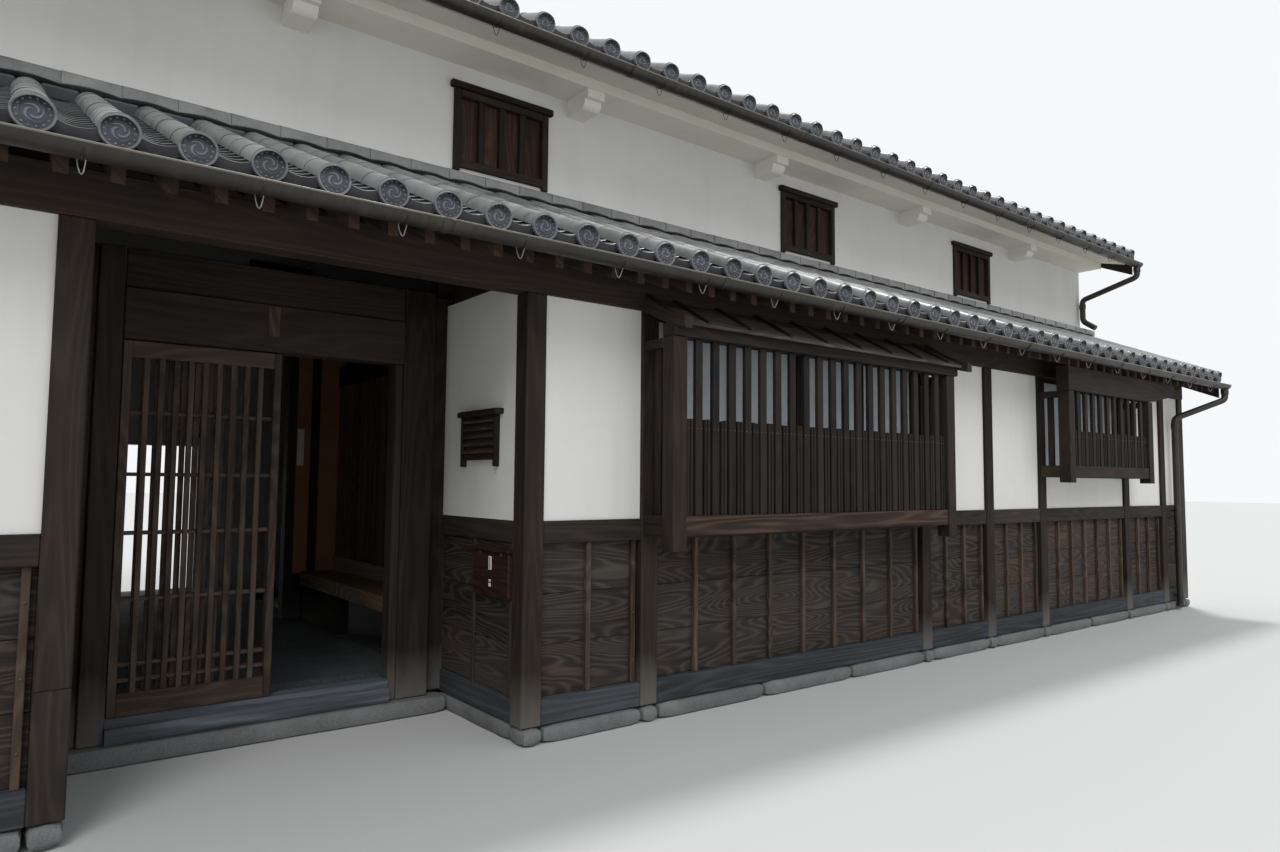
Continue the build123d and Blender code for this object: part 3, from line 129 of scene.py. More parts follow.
class Piece:
    """One joined mesh of many parts. UV is metres along and across the grain, with a place apart for each part."""

    def __init__(self, name):
        self.name = name
        self.verts = []
        self.faces = []
        self.uvs = []
        self.slots = []
        self.rng = random.Random(name)

    def tone(self):
        return PART_SPAN * self.rng.randint(0, PART_TONES)

    def add(self, verts, faces, uvs, slot=0):
        """Vertices, faces and one (along, across) pair per vertex."""
        base = len(self.verts)
        self.verts.extend(verts)
        for face in faces:
            self.faces.append([base + i for i in face])
            self.uvs.extend(uvs[i] for i in face)
            self.slots.append(slot)

    def hexa(self, corners, axis, cut, slot=0):
        """A six-sided bar with cut edges; corners run x, then y, then z, and axis is its grain."""
        corners = [Vector(c) for c in corners]
        size = [(corners[1 << a] - corners[0]).length for a in range(3)]
        inset = [min(cut / max(s, 1e-6), 0.3) for s in size]
        tone = self.tone()
        shift = self.rng.uniform(0, 3)
        a, b = (axis + 1) % 3, (axis + 2) % 3
        verts = []
        uvs = []
        for corner, face in CUBE_VERTS:
            w = []
            for k in range(3):
                step = 0 if k == face else inset[k]
                w.append(1 - step if corner >> k & 1 else step)
            point = Vector((0, 0, 0))
            for c in range(8):
                weight = 1.0
                for k in range(3):
                    weight *= w[k] if c >> k & 1 else 1 - w[k]
                point += corners[c] * weight
            verts.append(point)
            uvs.append((tone + 0.5 + w[axis] * size[axis], shift + w[a] * size[a] + w[b] * size[b]))
        self.add(verts, CUBE_FACES, uvs, slot)

    def bar(self, lo, hi, axis=None, cut=0.003, slot=0):
        """A square bar between two corners; its grain runs along its longest side."""
        lo, hi = Vector(lo), Vector(hi)
        size = hi - lo
        if axis is None:
            axis = max(range(3), key=lambda k: size[k])
        corners = [(hi.x if c & 1 else lo.x, hi.y if c & 2 else lo.y, hi.z if c & 4 else lo.z) for c in range(8)]
        self.hexa(corners, axis, cut, slot)

    def stiles(self, lo, hi, width, cut):
        """The two uprights of a frame that faces the street."""
        for x in (lo[0], hi[0] - width):
            self.bar((x, lo[1], lo[2]), (x + width, hi[1], hi[2]), axis=2, cut=cut)

    def boards(self, lo, hi, axis, step, gap, cut):
        """Boards laid side by side along an axis, in place of one wide bar."""
        size = hi[axis] - lo[axis]
        count = max(1, round(size / step))
        grain = max((k for k in range(3) if k != axis), key=lambda k: hi[k] - lo[k])
        for k in range(count):
            a, b = Vector(lo), Vector(hi)
            a[axis] = lo[axis] + size * k / count + gap / 2
            b[axis] = lo[axis] + size * (k + 1) / count - gap / 2
            self.bar(a, b, axis=grain, cut=cut)

    def strip(self, rings, closed=True, tone=None, caps=True, slot=0):
        """A skin over rings of points with the same count each, such as a pipe or a bent bar."""
        tone = self.tone() if tone is None else tone
        count = len(rings[0])
        centres = [sum(map(Vector, ring), Vector()) / count for ring in rings]
        verts = []
        uvs = []
        along = 0.0
        for k, ring in enumerate(rings):
            if k:
                along += (centres[k] - centres[k - 1]).length
            around = 0.0
            for i, point in enumerate(ring):
                if i:
                    around += (Vector(point) - Vector(ring[i - 1])).length
                verts.append(Vector(point))
                uvs.append((tone + 0.5 + along, around))
        faces = []
        for k in range(len(rings) - 1):
            for i in range(count if closed else count - 1):
                j = (i + 1) % count
                faces.append([k * count + i, k * count + j, (k + 1) * count + j, (k + 1) * count + i])
        if caps and closed:
            faces.append(list(range(count))[::-1])
            faces.append([(len(rings) - 1) * count + i for i in range(count)])
        self.add(verts, faces, uvs, slot)

    def dome(self, centre, radius, axis, sides=8):
        """A round nail head or bead on a face."""
        axis = Vector(axis).normalized()
        side = axis.orthogonal().normalized()
        other = axis.cross(side)
        centre = Vector(centre)
        self.strip([[centre + axis * radius * level + (side * c + other * s) * radius * spread
                     for c, s in circle(sides)] for level, spread in ((0.0, 1.0), (0.55, 0.75), (0.8, 0.3))])

    def tube(self, points, radius, sides, slot=0, bend=0.0):
        """A round tube through points; bend rounds its corners with a short arc."""
        path = []
        points = [Vector(p) for p in points]
        for k, point in enumerate(points):
            if 0 < k < len(points) - 1 and bend:
                before = (points[k - 1] - point).normalized()
                after = (points[k + 1] - point).normalized()
                for t in range(6):
                    w = t / 5
                    a = point + before * bend * (1 - w)
                    b = point + after * bend * w
                    path.append(a * (1 - w) + b * w)
            else:
                path.append(point)
        rings = []
        side = None
        for k, point in enumerate(path):
            ahead = path[min(k + 1, len(path) - 1)] - path[max(k - 1, 0)]
            ahead.normalize()
            side = (ahead.orthogonal() if side is None else side - ahead * side.dot(ahead)).normalized()
            other = ahead.cross(side)
            rings.append([point + (side * c + other * s) * radius for c, s in circle(sides)])
        self.strip(rings, slot=slot)

    def done(self, materials, slot, *replaces, body=BODY, angle=40):
        """Make the object: smooth but for its sharp edges, riding on a body."""
        mesh = bpy.data.meshes.new(self.name)
        mesh.from_pydata([tuple(v) for v in self.verts], [], self.faces)
        layer = mesh.uv_layers.new(name="grain")
        layer.data.foreach_set("uv", np.array(self.uvs, np.float32).ravel())
        for material in materials if isinstance(materials, list) else [materials]:
            mesh.materials.append(material)
        mesh.polygons.foreach_set("material_index", np.array(self.slots, np.int32))
        mesh.polygons.foreach_set("use_smooth", np.ones(len(self.faces), bool))
        mesh.update()
        mesh.set_sharp_from_angle(angle=math.radians(angle))
        obj = bpy.data.objects.new(self.name, mesh)
        bpy.context.scene.collection.objects.link(obj)
        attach(obj, body)
        if replaces:
            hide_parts(*replaces)


def circle(sides):
    """Cosine and sine at even steps round a whole turn."""
    return [(math.cos(2 * math.pi * i / sides), math.sin(2 * math.pi * i / sides)) for i in range(sides)]


def half_circle(steps):
    """Cosine and sine from 0 to 180 degrees, both ends included."""
    return [(math.cos(math.pi * i / steps), math.sin(math.pi * i / steps)) for i in range(steps + 1)]


def leaning(xs, ends, rises):
    """Corners of a bar that leans along y, from the (y, z) of both ends and its faces' heights over them."""
    return [(x, y, z + rise) for rise in rises for y, z in ends for x in xs]


# Materials
class Nodes:
    """Short calls that build one material's nodes."""

    def __init__(self, name, rough=0.7, metal=0.0, spec=0.4):
        self.material = bpy.data.materials.new(name)
        self.material.use_nodes = True
        self.tree = self.material.node_tree
        self.shader = self.tree.nodes["Principled BSDF"]
        self.shader.inputs["Metallic"].default_value = metal
        self.shader.inputs["Roughness"].default_value = rough
        self.shader.inputs["Specular IOR Level"].default_value = spec

    def node(self, kind, inputs, **settings):
        made = self.tree.nodes.new(kind)
        for key, value in settings.items():
            setattr(made, key, value)
        for key, value in inputs.items():
            if isinstance(value, bpy.types.NodeSocket):
                self.tree.links.new(value, made.inputs[key])
            else:
                made.inputs[key].default_value = value
        return made

    def math(self, kind, a, b=0.0):
        return self.node("ShaderNodeMath", {0: a, 1: b}, operation=kind).outputs[0]

    def add(self, a, b):
        return self.math("ADD", a, b)

    def mul(self, a, b):
        return self.math("MULTIPLY", a, b)

    def total(self, *terms):
        """The sum of each value times its weight."""
        return functools.reduce(self.add, [self.mul(value, weight) for value, weight in terms])

    def noise(self, vector, scale, detail=2.0, rough=0.5, distort=0.0):
        return self.node("ShaderNodeTexNoise", {"Vector": vector, "Scale": scale, "Detail": detail,
                                                "Roughness": rough, "Distortion": distort}).outputs[0]

    def stretched(self, point, scales, *settings):
        """Noise with a scale of its own along each coordinate."""
        scaled = dict(enumerate(map(self.mul, point, scales)))
        return self.noise(self.node("ShaderNodeCombineXYZ", scaled).outputs[0], 1.0, *settings)

    def span(self, value, a, b, low=0.0, high=1.0):
        """A value from a..b stretched to low..high and kept inside."""
        return self.node("ShaderNodeMapRange", {0: value, 1: a, 2: b, 3: low, 4: high}).outputs[0]

    def mix(self, factor, a, b):
        colours = [c if isinstance(c, bpy.types.NodeSocket) else (*c, 1.0) for c in (a, b)]
        return self.node("ShaderNodeMix", {0: factor, 6: colours[0], 7: colours[1]}, data_type="RGBA").outputs[2]

    def grain(self):
        """Metres along, metres across and a part number between 0 and 60, from the UV layer."""
        uv = self.node("ShaderNodeUVMap", {}, uv_map="grain").outputs[0]
        split = self.node("ShaderNodeSeparateXYZ", {0: uv}).outputs
        part = self.math("FLOOR", self.math("DIVIDE", split[0], PART_SPAN))
        along = self.math("SUBTRACT", split[0], self.mul(part, PART_SPAN))
        return along, split[1], part

    def tone(self, part):
        """A random value of its own for each part."""
        return self.node("ShaderNodeTexWhiteNoise", {"W": part}, noise_dimensions="1D").outputs[0]

    def place(self):
        """The place on the object, whole and as x, y and z."""
        coordinate = self.node("ShaderNodeTexCoord", {}).outputs["Object"]
        return coordinate, self.node("ShaderNodeSeparateXYZ", {0: coordinate}).outputs

    def finish(self, colour, bump, strength, distance, rough=None):
        self.tree.links.new(colour, self.shader.inputs["Base Color"])
        normal = self.node("ShaderNodeBump", {"Strength": strength, "Distance": distance, "Height": bump})
        self.tree.links.new(normal.outputs[0], self.shader.inputs["Normal"])
        if rough is not None:
            self.tree.links.new(rough, self.shader.inputs["Roughness"])
        return self.material


# Wood noise: how fast rings change across the grain, how far parts lie apart, and how much their tone differs
RING_SPREAD = 5.0
PART_SHIFT = 3.7
TONE_MIX = 0.35


def wood(name, dark, light, rings=90.0, ring_mix=0.3, flow=0.8, rough=0.7, bump=0.35, foot=None, warm=None):
    """Timber with growth rings, fibres and a tone of its own for each part.

    Foot is a bleached colour near the ground, warm a redder one that comes in patches.
    """
    n = Nodes(name, rough, spec=0.2)
    grain = n.grain()
    contour = n.stretched(grain, (flow, RING_SPREAD, PART_SHIFT), 1.3, 0.35)
    ring = n.math("POWER", n.span(n.math("SINE", n.mul(contour, rings)), -1.0, 1.0), 2.2)
    fibre, streak, patch = (n.stretched(grain, (along, across, PART_SHIFT), 3.0, 0.6)
                            for along, across in ((4.0, 260.0), (0.9, 34.0), (1.3, 4.0)))
    shade = n.total((ring, ring_mix), (n.span(fibre, 0.3, 0.7), 0.25), (n.span(streak, 0.3, 0.7), 0.22),
                    (n.span(patch, 0.25, 0.75), 0.28), (n.math("SUBTRACT", n.tone(grain[2]), 0.5), TONE_MIX))
    shade = n.span(shade, 0.1, 1.0)
    colour = n.mix(shade, dark, light)
    if warm:
        spots = n.stretched(grain, (0.7, 1.5, 9.1))
        colour = n.mix(n.span(spots, 0.48, 0.72, 0.0, 0.85), colour, n.mix(shade, dark, warm))
    if foot:
        _, place = n.place()
        low = n.span(n.add(place[2], n.mul(n.math("SUBTRACT", patch, 0.5), 0.35)), 0.42, 0.12)
        colour = n.mix(n.mul(low, 0.8), colour, foot)
    height = n.total((fibre, 0.5), (ring, 0.35), (streak, 0.4))
    return n.finish(colour, height, bump, 0.002, n.span(fibre, 0.2, 0.8, rough - 0.12, rough + 0.15))


def plaster(name, base, stain, streaks=0.35):
    """Trowelled plaster with faint clouds, damp streaks and fine grit."""
    n = Nodes(name, 0.85, spec=0.25)
    vector, place = n.place()
    cloud = n.noise(vector, 1.1, 4.0, 0.6)
    drip = n.stretched(place, (5.0, 5.0, 0.7), 4.0, 0.6)
    trowel = n.noise(vector, 9.0, 3.0, 0.5, 0.6)
    dirt = n.mul(n.add(n.span(cloud, 0.45, 0.8, 0.0, 0.6), n.span(drip, 0.5, 0.85, 0.0, 0.6)), streaks)
    return n.finish(n.mix(dirt, base, stain), n.total((trowel, 0.8), (n.noise(vector, 220.0), 0.2)), 0.25, 0.004)


def tile(name, dark, light, rough=0.36):
    """Smoked clay tile: silvery grey with a tone for each tile, clouds and darker pits."""
    n = Nodes(name, rough, spec=0.55)
    vector, _ = n.place()
    cloud = n.noise(vector, 7.0, 4.0, 0.6)
    speck = n.noise(vector, 90.0, 3.0, 0.7)
    shade = n.total((n.tone(n.grain()[2]), 0.35), (n.span(cloud, 0.3, 0.7), 0.45), (n.span(speck, 0.35, 0.75), 0.2))
    return n.finish(n.mix(shade, dark, light), n.add(n.mul(speck, 0.6), cloud), 0.2, 0.002,
                    n.span(cloud, 0.3, 0.75, rough - 0.1, rough + 0.18))


def metal(name, base, rust):
    """Painted sheet metal that has dulled and stained."""
    n = Nodes(name, 0.45, 0.35, 0.5)
    vector, place = n.place()
    cloud = n.noise(vector, 5.0, 4.0, 0.65)
    run = n.stretched(place, (40.0, 6.0, 3.0), 3.0)
    stain = n.mul(n.span(cloud, 0.42, 0.7), n.span(run, 0.35, 0.7))
    return n.finish(n.mix(stain, base, rust), run, 0.1, 0.001, n.span(cloud, 0.3, 0.7, 0.35, 0.6))


def stone(name, dark, light, scale=14.0):
    """Weathered stone: grey clouds, fine grains and pits."""
    n = Nodes(name, 0.85, spec=0.3)
    vector, _ = n.place()
    cloud = n.noise(vector, 2.3, 5.0, 0.65)
    grains = n.noise(vector, scale * 9, 3.0, 0.7)
    lump = n.noise(vector, scale, 4.0, 0.6)
    shade = n.total((n.span(cloud, 0.3, 0.7), 0.55), (n.span(grains, 0.3, 0.7), 0.45))
    return n.finish(n.mix(shade, dark, light), n.add(lump, n.mul(grains, 0.3)), 0.5, 0.004)


def clay(name, base, light):
    """Smooth clay plaster with a little straw."""
    n = Nodes(name, 0.8, spec=0.25)
    vector, place = n.place()
    cloud = n.noise(vector, 2.0, 4.0, 0.6)
    straw = n.stretched(place, (60.0, 60.0, 240.0))
    colour = n.mix(n.span(cloud, 0.3, 0.7, 0.0, 0.7), base, light)
    colour = n.mix(n.span(straw, 0.62, 0.7, 0.0, 0.4), colour, tuple(c * 1.6 for c in light))
    return n.finish(colour, straw, 0.1, 0.001)


def paper(name, base, shade):
    """Backed paper with long soft fibres."""
    n = Nodes(name, 0.75, spec=0.2)
    vector, place = n.place()
    fibre = n.stretched((place[0], place[2], place[1]), (30.0, 12.0, 30.0), 5.0, 0.7, 1.2)
    cloud = n.noise(vector, 1.5, 3.0)
    dull = n.add(n.span(fibre, 0.35, 0.75, 0.0, 0.35), n.span(cloud, 0.4, 0.8, 0.0, 0.4))
    return n.finish(n.mix(dull, base, shade), fibre, 0.08, 0.001)


def plain(name, base, other, rough):
    """Small dull fittings, with fine mottling."""
    n = Nodes(name, rough)
    vector, _ = n.place()
    cloud = n.noise(vector, 40.0, 3.0, 0.6)
    return n.finish(n.mix(n.span(cloud, 0.35, 0.7), base, other), cloud, 0.1, 0.0006)


def face_wood(name, dark, light):
    """Wood for a solid that is shown as it is, with its grain along x."""
    n = Nodes(name, 0.7)
    _, place = n.place()
    grain = (place[0], n.add(place[1], n.mul(place[2], 0.5)))
    fibre = n.stretched(grain, (4.0, 190.0), 3.0, 0.6)
    patch = n.stretched(grain, (0.8, 6.0), 3.0, 0.6)
    shade = n.total((n.span(fibre, 0.3, 0.7), 0.4), (n.span(patch, 0.3, 0.7), 0.6))
    return n.finish(n.mix(shade, dark, light), fibre, 0.3, 0.003)


DARK = wood("dark_timber", (0.0065, 0.0043, 0.0029), (0.046, 0.032, 0.023), rings=95.0, ring_mix=0.22, flow=0.4,
            foot=(0.13, 0.12, 0.105))
SIDE = wood("lattice_timber", (0.0065, 0.0048, 0.0036), (0.031, 0.0235, 0.018), rings=60.0, ring_mix=0.15)
BOARD = wood("weathered_board", (0.0108, 0.0088, 0.0072), (0.074, 0.0625, 0.053), rings=150.0, ring_mix=0.4,
             flow=0.7, rough=0.8, bump=0.6, warm=(0.1, 0.061, 0.042))
PALE = wood("weathered_timber", (0.021, 0.024, 0.027), (0.078, 0.086, 0.094), rings=110.0, ring_mix=0.25,
            flow=0.35, rough=0.85, bump=0.6)
SILL = wood("step_sill_timber", (0.2, 0.175, 0.125), (0.5, 0.44, 0.33), flow=0.4)
THRESHOLD = wood("threshold_timber", (0.045, 0.052, 0.059), (0.19, 0.21, 0.23), flow=0.35, rough=0.85, bump=0.7)
RAIL = wood("rail_timber", (0.009, 0.0067, 0.0052), (0.056, 0.042, 0.033), rings=95.0, ring_mix=0.25, flow=0.45)
BATTEN = wood("batten_timber", (0.022, 0.0145, 0.0095), (0.115, 0.081, 0.057))
RED = wood("reddish_timber", (0.018, 0.0105, 0.0072), (0.11, 0.066, 0.046), rings=110.0, ring_mix=0.4, flow=0.5)
DOOR = wood("door_timber", (0.02, 0.0138, 0.0098), (0.098, 0.067, 0.049), rings=80.0)
SHUTTER = wood("shutter_timber", (0.017, 0.0092, 0.0062), (0.072, 0.038, 0.0235), ring_mix=0.4)
RAFTER = wood("rafter_timber", (0.018, 0.0125, 0.009), (0.08, 0.057, 0.042), rings=80.0, ring_mix=0.25)
RAFTER_END = wood("rafter_end_timber", (0.021, 0.0125, 0.009), (0.078, 0.045, 0.031), rings=120.0)
FLOOR_WOOD = wood("floor_timber", (0.17, 0.115, 0.06), (0.46, 0.34, 0.205), rings=80.0)
PLANK = wood("plank_timber", (0.06, 0.034, 0.017), (0.27, 0.165, 0.088), rings=95.0, ring_mix=0.35)
CANOPY = wood("canopy_board", (0.024, 0.021, 0.0185), (0.118, 0.108, 0.097), rings=70.0, rough=0.75)
BOX = wood("box_timber", (0.015, 0.0068, 0.0045), (0.054, 0.024, 0.0155), rings=80.0, rough=0.5)
WHITE = plaster("white_plaster", (0.71, 0.703, 0.68), (0.46, 0.435, 0.385))
# Eave plaster: a warmer, lighter copy of the wall plaster, painted as warm light on the soffits
CREAM_PAINTED_LIGHT = plaster("eave_plaster_painted_warm_light", (0.76, 0.73, 0.655), (0.52, 0.48, 0.39))
ORANGE = clay("clay_wall", (0.26, 0.112, 0.052), (0.38, 0.185, 0.092))
STONE = stone("plinth_stone", (0.07, 0.072, 0.073), (0.225, 0.226, 0.224))
EARTH = stone("earth_floor", (0.05, 0.054, 0.058), (0.13, 0.137, 0.142), 5.0)
TILE = tile("roof_tile", (0.075, 0.076, 0.077), (0.3, 0.3, 0.296))
# Pan tiles: the same clay as the rolls, painted dark as the shade that falls between the rolls
PAN_PAINTED_SHADE = tile("pan_tile", (0.014, 0.016, 0.018), (0.07, 0.075, 0.08), 0.42)
CREST = tile("crest_tile", (0.075, 0.083, 0.093), (0.235, 0.25, 0.265))
# The crests' recessed field, painted darker than the raised rim, beads and drops: painted shade in the hollow
CREST_FLOOR_PAINTED_SHADE = tile("crest_floor_painted_shade", (0.02, 0.0235, 0.029), (0.08, 0.089, 0.102), 0.55)
# Dark grey mortar; under the pent flashing its dark colour is painted shade
MORTAR = tile("roof_mortar", (0.035, 0.039, 0.044), (0.115, 0.125, 0.135), 0.7)
TILE_DARK = tile("tile_mortar", (0.018, 0.021, 0.025), (0.062, 0.069, 0.077), 0.6)
METAL = metal("gutter_metal", (0.028, 0.025, 0.0205), (0.072, 0.058, 0.041))
# Lighter metal for the gutters' rim bead: a painted glint along the rim
RIM_PAINTED_GLINT = metal("gutter_rim_painted_glint", (0.16, 0.145, 0.12), (0.09, 0.075, 0.055))
# Pale wire only for the pent gutter's hooks, painted as lit; the main gutters' hooks take the dark gutter metal as
# painted shade
WIRE_PAINTED_LIT = plain("wire", (0.22, 0.22, 0.21), (0.42, 0.42, 0.4), 0.45)
IRON = plain("iron_nail", (0.03, 0.026, 0.024), (0.1, 0.07, 0.05), 0.6)
PAPER = paper("screen_paper", (0.6, 0.65, 0.69), (0.42, 0.46, 0.5))
SHEET = paper("plain_sheet", (0.75, 0.73, 0.68), (0.6, 0.58, 0.52))
BRACKET = plaster("bracket_plaster", (0.8, 0.78, 0.71), (0.6, 0.56, 0.47), 0.25)
UNDER_BOARD = face_wood("eave_board", (0.008, 0.0055, 0.004), (0.036, 0.025, 0.019))
RIBBED = face_wood("inner_timber", (0.014, 0.0095, 0.007), (0.055, 0.039, 0.029))

# Solids that are shown as they are
KEPT = {"front_plaster": WHITE, "porch_plaster": WHITE, "upper_front_wall": WHITE, "rear_wall": WHITE,
        "left_gable_wall": WHITE, "right_gable_wall": WHITE, "eave_soffits": CREAM_PAINTED_LIGHT, "eave_brackets": BRACKET,
        "pent_deck": UNDER_BOARD, "main_roof_deck": UNDER_BOARD, "passage_floor": EARTH, "screen_paper": PAPER,
        "main_frame": RIBBED}
for node, material in KEPT.items():
    mesh = NODES[node].data
    mesh.materials.clear()
    mesh.materials.append(material)


def at_x(x, section):
    """A section of (y, z) points, placed at x."""
    return [(x, y, z) for y, z in section]


def dress(node, materials, slot, part, name=None):
    """A piece in place of a node, in which part(piece, lo, hi) makes each solid anew."""
    piece = Piece(name or node + "_dressed")
    for lo, hi in solids(node):
        part(piece, lo, hi)
    piece.done(materials, slot, node)


def timber(cut):
    """A part for dress: one squared timber."""
    return lambda piece, lo, hi: piece.bar(lo, hi, cut=cut)


# Street front: the post left of the entrance is spliced at its foot
SPLICED_POST = (-5.0, -4.4)
SPLICE_TOP = 0.62


def front_post(piece, lo, hi):
    low = lo.z
    if SPLICED_POST[0] < lo.x < SPLICED_POST[1]:
        low = SPLICE_TOP
        piece.bar(lo, (hi.x, hi.y, low), cut=0.006, slot=1)
    piece.bar((lo.x, lo.y, low), hi, cut=0.006)


# Battens of each wainscot panel, from left to right, and the heights of their nails
BATTENS = (6, 2, 8, 3, 3, 6, 3, 1)
BATTEN_NAILS = (0.14, 0.43, 0.73)
HALF_BATTEN = 0.016


def wainscot():
    """Wide boards laid level behind upright battens, with round-headed nails."""
    boards, battens, nails = map(Piece, ("wainscot_boards", "wainscot_battens", "wainscot_nails"))
    for (lo, hi), count in zip(solids("wainscot_panels"), BATTENS):
        face = lo.y + 0.03
        boards.boards((lo.x, face, lo.z), hi, 2, 0.295, 0.002, 0.004)
        last = hi.x - 0.024 - HALF_BATTEN
        step = (last - lo.x) / count
        for k in range(count):
            x = last - k * step
            battens.bar((x - HALF_BATTEN, lo.y, lo.z), (x + HALF_BATTEN, face, hi.z))
            for height in BATTEN_NAILS:
                nails.dome((x, lo.y, lo.z + height), 0.007, STREET)
    boards.done(BOARD, "weathered_board", "wainscot_panels")
    battens.done(BATTEN, "weathered_board")
    nails.done(IRON, "dark_timber")


# Tiled roofs: the pan tiles' step, half the width of the mortar between rolls, and a crest's radius
PAN_STEP = 0.11
HALF_FILLET = 0.085
CREST_RADIUS = 0.0745


class Slope:
    """Points on a roof slope: x along the eave, s up the slope, h square to it."""

    def __init__(self, node, slope, side):
        lo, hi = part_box(node)
        self.x0, self.x1 = lo.x, hi.x
        self.pitch = (hi.x - lo.x) / ROWS
        self.y = lo.y if side > 0 else hi.y
        self.z = lo.z + PAN_THICK
        self.length = (hi.y - lo.y) * math.hypot(1, slope)
        self.up = Vector((0, side, slope)).normalized()
        self.out = Vector((0, -side * slope, 1)).normalized()

    def at(self, x, s, h):
        return Vector((x, self.y, self.z)) + self.up * s + self.out * h

    def courses(self, exposure):
        """The count of tiles up the slope and their step."""
        count = max(1, round(self.length / exposure))
        return count, self.length / count

    def fillets(self, piece, ends, heights, reach, slot):
        """Mortar between the rolls, as long as reach says and kept between two ends."""
        for gap in range(ROWS + 1):
            x = self.x0 + gap * self.pitch
            wide = (max(-HALF_FILLET, ends[0] - x), min(HALF_FILLET, ends[1] - x))
            corners = [self.at(x + dx, s, h) for h in heights for s in reach for dx in wide]
            piece.hexa(corners, 0, 0.01, slot=slot)


def cover_tiles(piece, slope, exposure):
    """Rows of half-round tiles, each lapping over the one below with a lip."""
    count, step = slope.courses(exposure)
    arc = half_circle(10)
    for row in range(ROWS):
        x = slope.x0 + (row + 0.5) * slope.pitch
        for k in range(count):
            s0 = k * step - (0.012 if k == 0 else 0.0)
            s1 = (k + 1) * step
            jog = piece.rng.uniform(-0.0022, 0.0022)
            grow = 1.0 + (0.02 if k == 0 else piece.rng.uniform(-0.004, 0.006))
            levels = ((s0 + 0.001, 0.95), (s0, grow), (s0 + 0.03, grow + 0.012), (s1 + 0.006, 0.972))
            piece.strip([[slope.at(x + jog - ROLL * r * c, s, ROLL * r * up * 0.93 - 0.004) for c, up in arc]
                         for s, r in levels], closed=False, caps=False)


def pan_tiles(piece, slope):
    """Courses of shallow curved tiles between the rolls, each with its thick lower edge. The tiles are painted dark as
    the shade between the rolls, and a thin strip on each lip's top is painted light as a glint.
    """
    count, step = slope.courses(PAN_STEP)
    half = slope.pitch / 2 - ROLL * 0.72
    sides = 6
    for gap in range(ROWS + 1):
        x = slope.x0 + gap * slope.pitch
        left = -half if gap else 0.0
        right = half if gap < ROWS else 0.0
        spots = [left + (right - left) * i / sides for i in range(sides + 1)]
        for k in range(count):
            s0 = k * step
            lip = -0.052 if k == 0 else -0.020
            rings = [[slope.at(x + t, s, lift - 0.024 * (1 - (t / half) ** 2) + 0.006) for t in spots]
                     for s, lift in ((s0, lip), (s0 - 0.001, -0.001), (s0 + 0.004, 0.0), (s0 + step, -0.013))]
            tone = piece.tone()
            # Slot 0, the pan tile, is painted shade; slot 1, a strip a few millimetres wide on the lip's top, takes the
            # lighter roll tile as a painted glint
            for part, slot in ((rings[:2], 0), (rings[1:3], 1), (rings[2:], 0)):
                piece.strip(part, closed=False, caps=False, tone=tone, slot=slot)


# Levels of a crest's rim and of its field, as shares of its radius and metres out of its face
CREST_RIM = ((1.0, -0.010), (1.0, 0.006), (0.98, 0.009), (0.88, 0.009), (0.85, 0.002))
CREST_FIELD = ((0.85, 0.002), (0.6, 0.003), (0.57, 0.0045), (0.54, 0.0022), (0.001, 0.002))
CREST_BEADS = 14


def crest(piece, centre, side):
    """The round end of a cover tile: a rim, a ring of beads and three curling drops, the usual old pattern."""
    centre = Vector(centre)
    out = Vector((0, -side, 0))
    across = Vector((side, 0, 0))
    up = Vector((0, 0, 1))

    def at(r, turn, h):
        return centre + across * r * math.cos(turn) + up * r * math.sin(turn) + out * h

    sides = 26
    tone = piece.tone()
    # Slot 0 is the raised rim and slot 1 the recessed field, painted darker as shade in the hollow; the beads and drops
    # take slot 0
    for slot, levels in enumerate((CREST_RIM, CREST_FIELD)):
        rings = [[at(CREST_RADIUS * r, 2 * math.pi * i / sides, h) for i in range(sides)] for r, h in levels]
        piece.strip(rings, tone=tone, caps=False, slot=slot)
    for k in range(CREST_BEADS):
        turn = 2 * math.pi * k / CREST_BEADS
        piece.dome(at(CREST_RADIUS * 0.72, turn, 0.0018), CREST_RADIUS * 0.078, out, 6)
    inner = CREST_RADIUS * 0.5
    for k in range(3):
        rings = []
        for i in range(9):
            t = i / 8
            turn = 2 * math.pi * k / 3 + 2.6 * t
            r = inner * (0.42 + 0.5 * t)
            swell = math.pi * min(1.0, 0.25 + 0.62 * (1 - t))
            wide = inner * (0.23 * math.sin(swell) * (1 - t) ** 0.45 + 0.02)
            rings.append([at(r + wide * share, turn, h)
                          for share, h in ((-1, 0.0015), (-0.4, 0.0065), (0.4, 0.0065), (1, 0.0015))])
        piece.strip(rings, tone=tone)


def roofs():
    """Cover tiles, pan tiles and eave crests of each slope; a cover tile shows the exposure given here."""
    for name, node, tan, side, exposure in (("pent", "pent_tiles", PENT_SLOPE, 1, 0.265),
                                            ("main_front", "main_tiles_front", MAIN_SLOPE, 1, 0.27),
                                            ("main_rear", "main_tiles_rear", MAIN_SLOPE, -1, 0.27)):
        slope = Slope(node, tan, side)
        covers = Piece(name + "_cover_tiles")
        cover_tiles(covers, slope, exposure)
        covers.done(TILE, "roof_tile", node, angle=50)
        pans = Piece(name + "_pan_tiles")
        pan_tiles(pans, slope)
        pans.done([PAN_PAINTED_SHADE, TILE], "roof_tile", angle=50)
        ends = Piece(name + "_eave_crests")
        for row in range(ROWS):
            x = slope.x0 + (row + 0.5) * slope.pitch
            crest(ends, (x, slope.y - side * 0.004, slope.z - 0.002), side)
        ends.done([CREST, CREST_FLOOR_PAINTED_SHADE], "roof_tile")


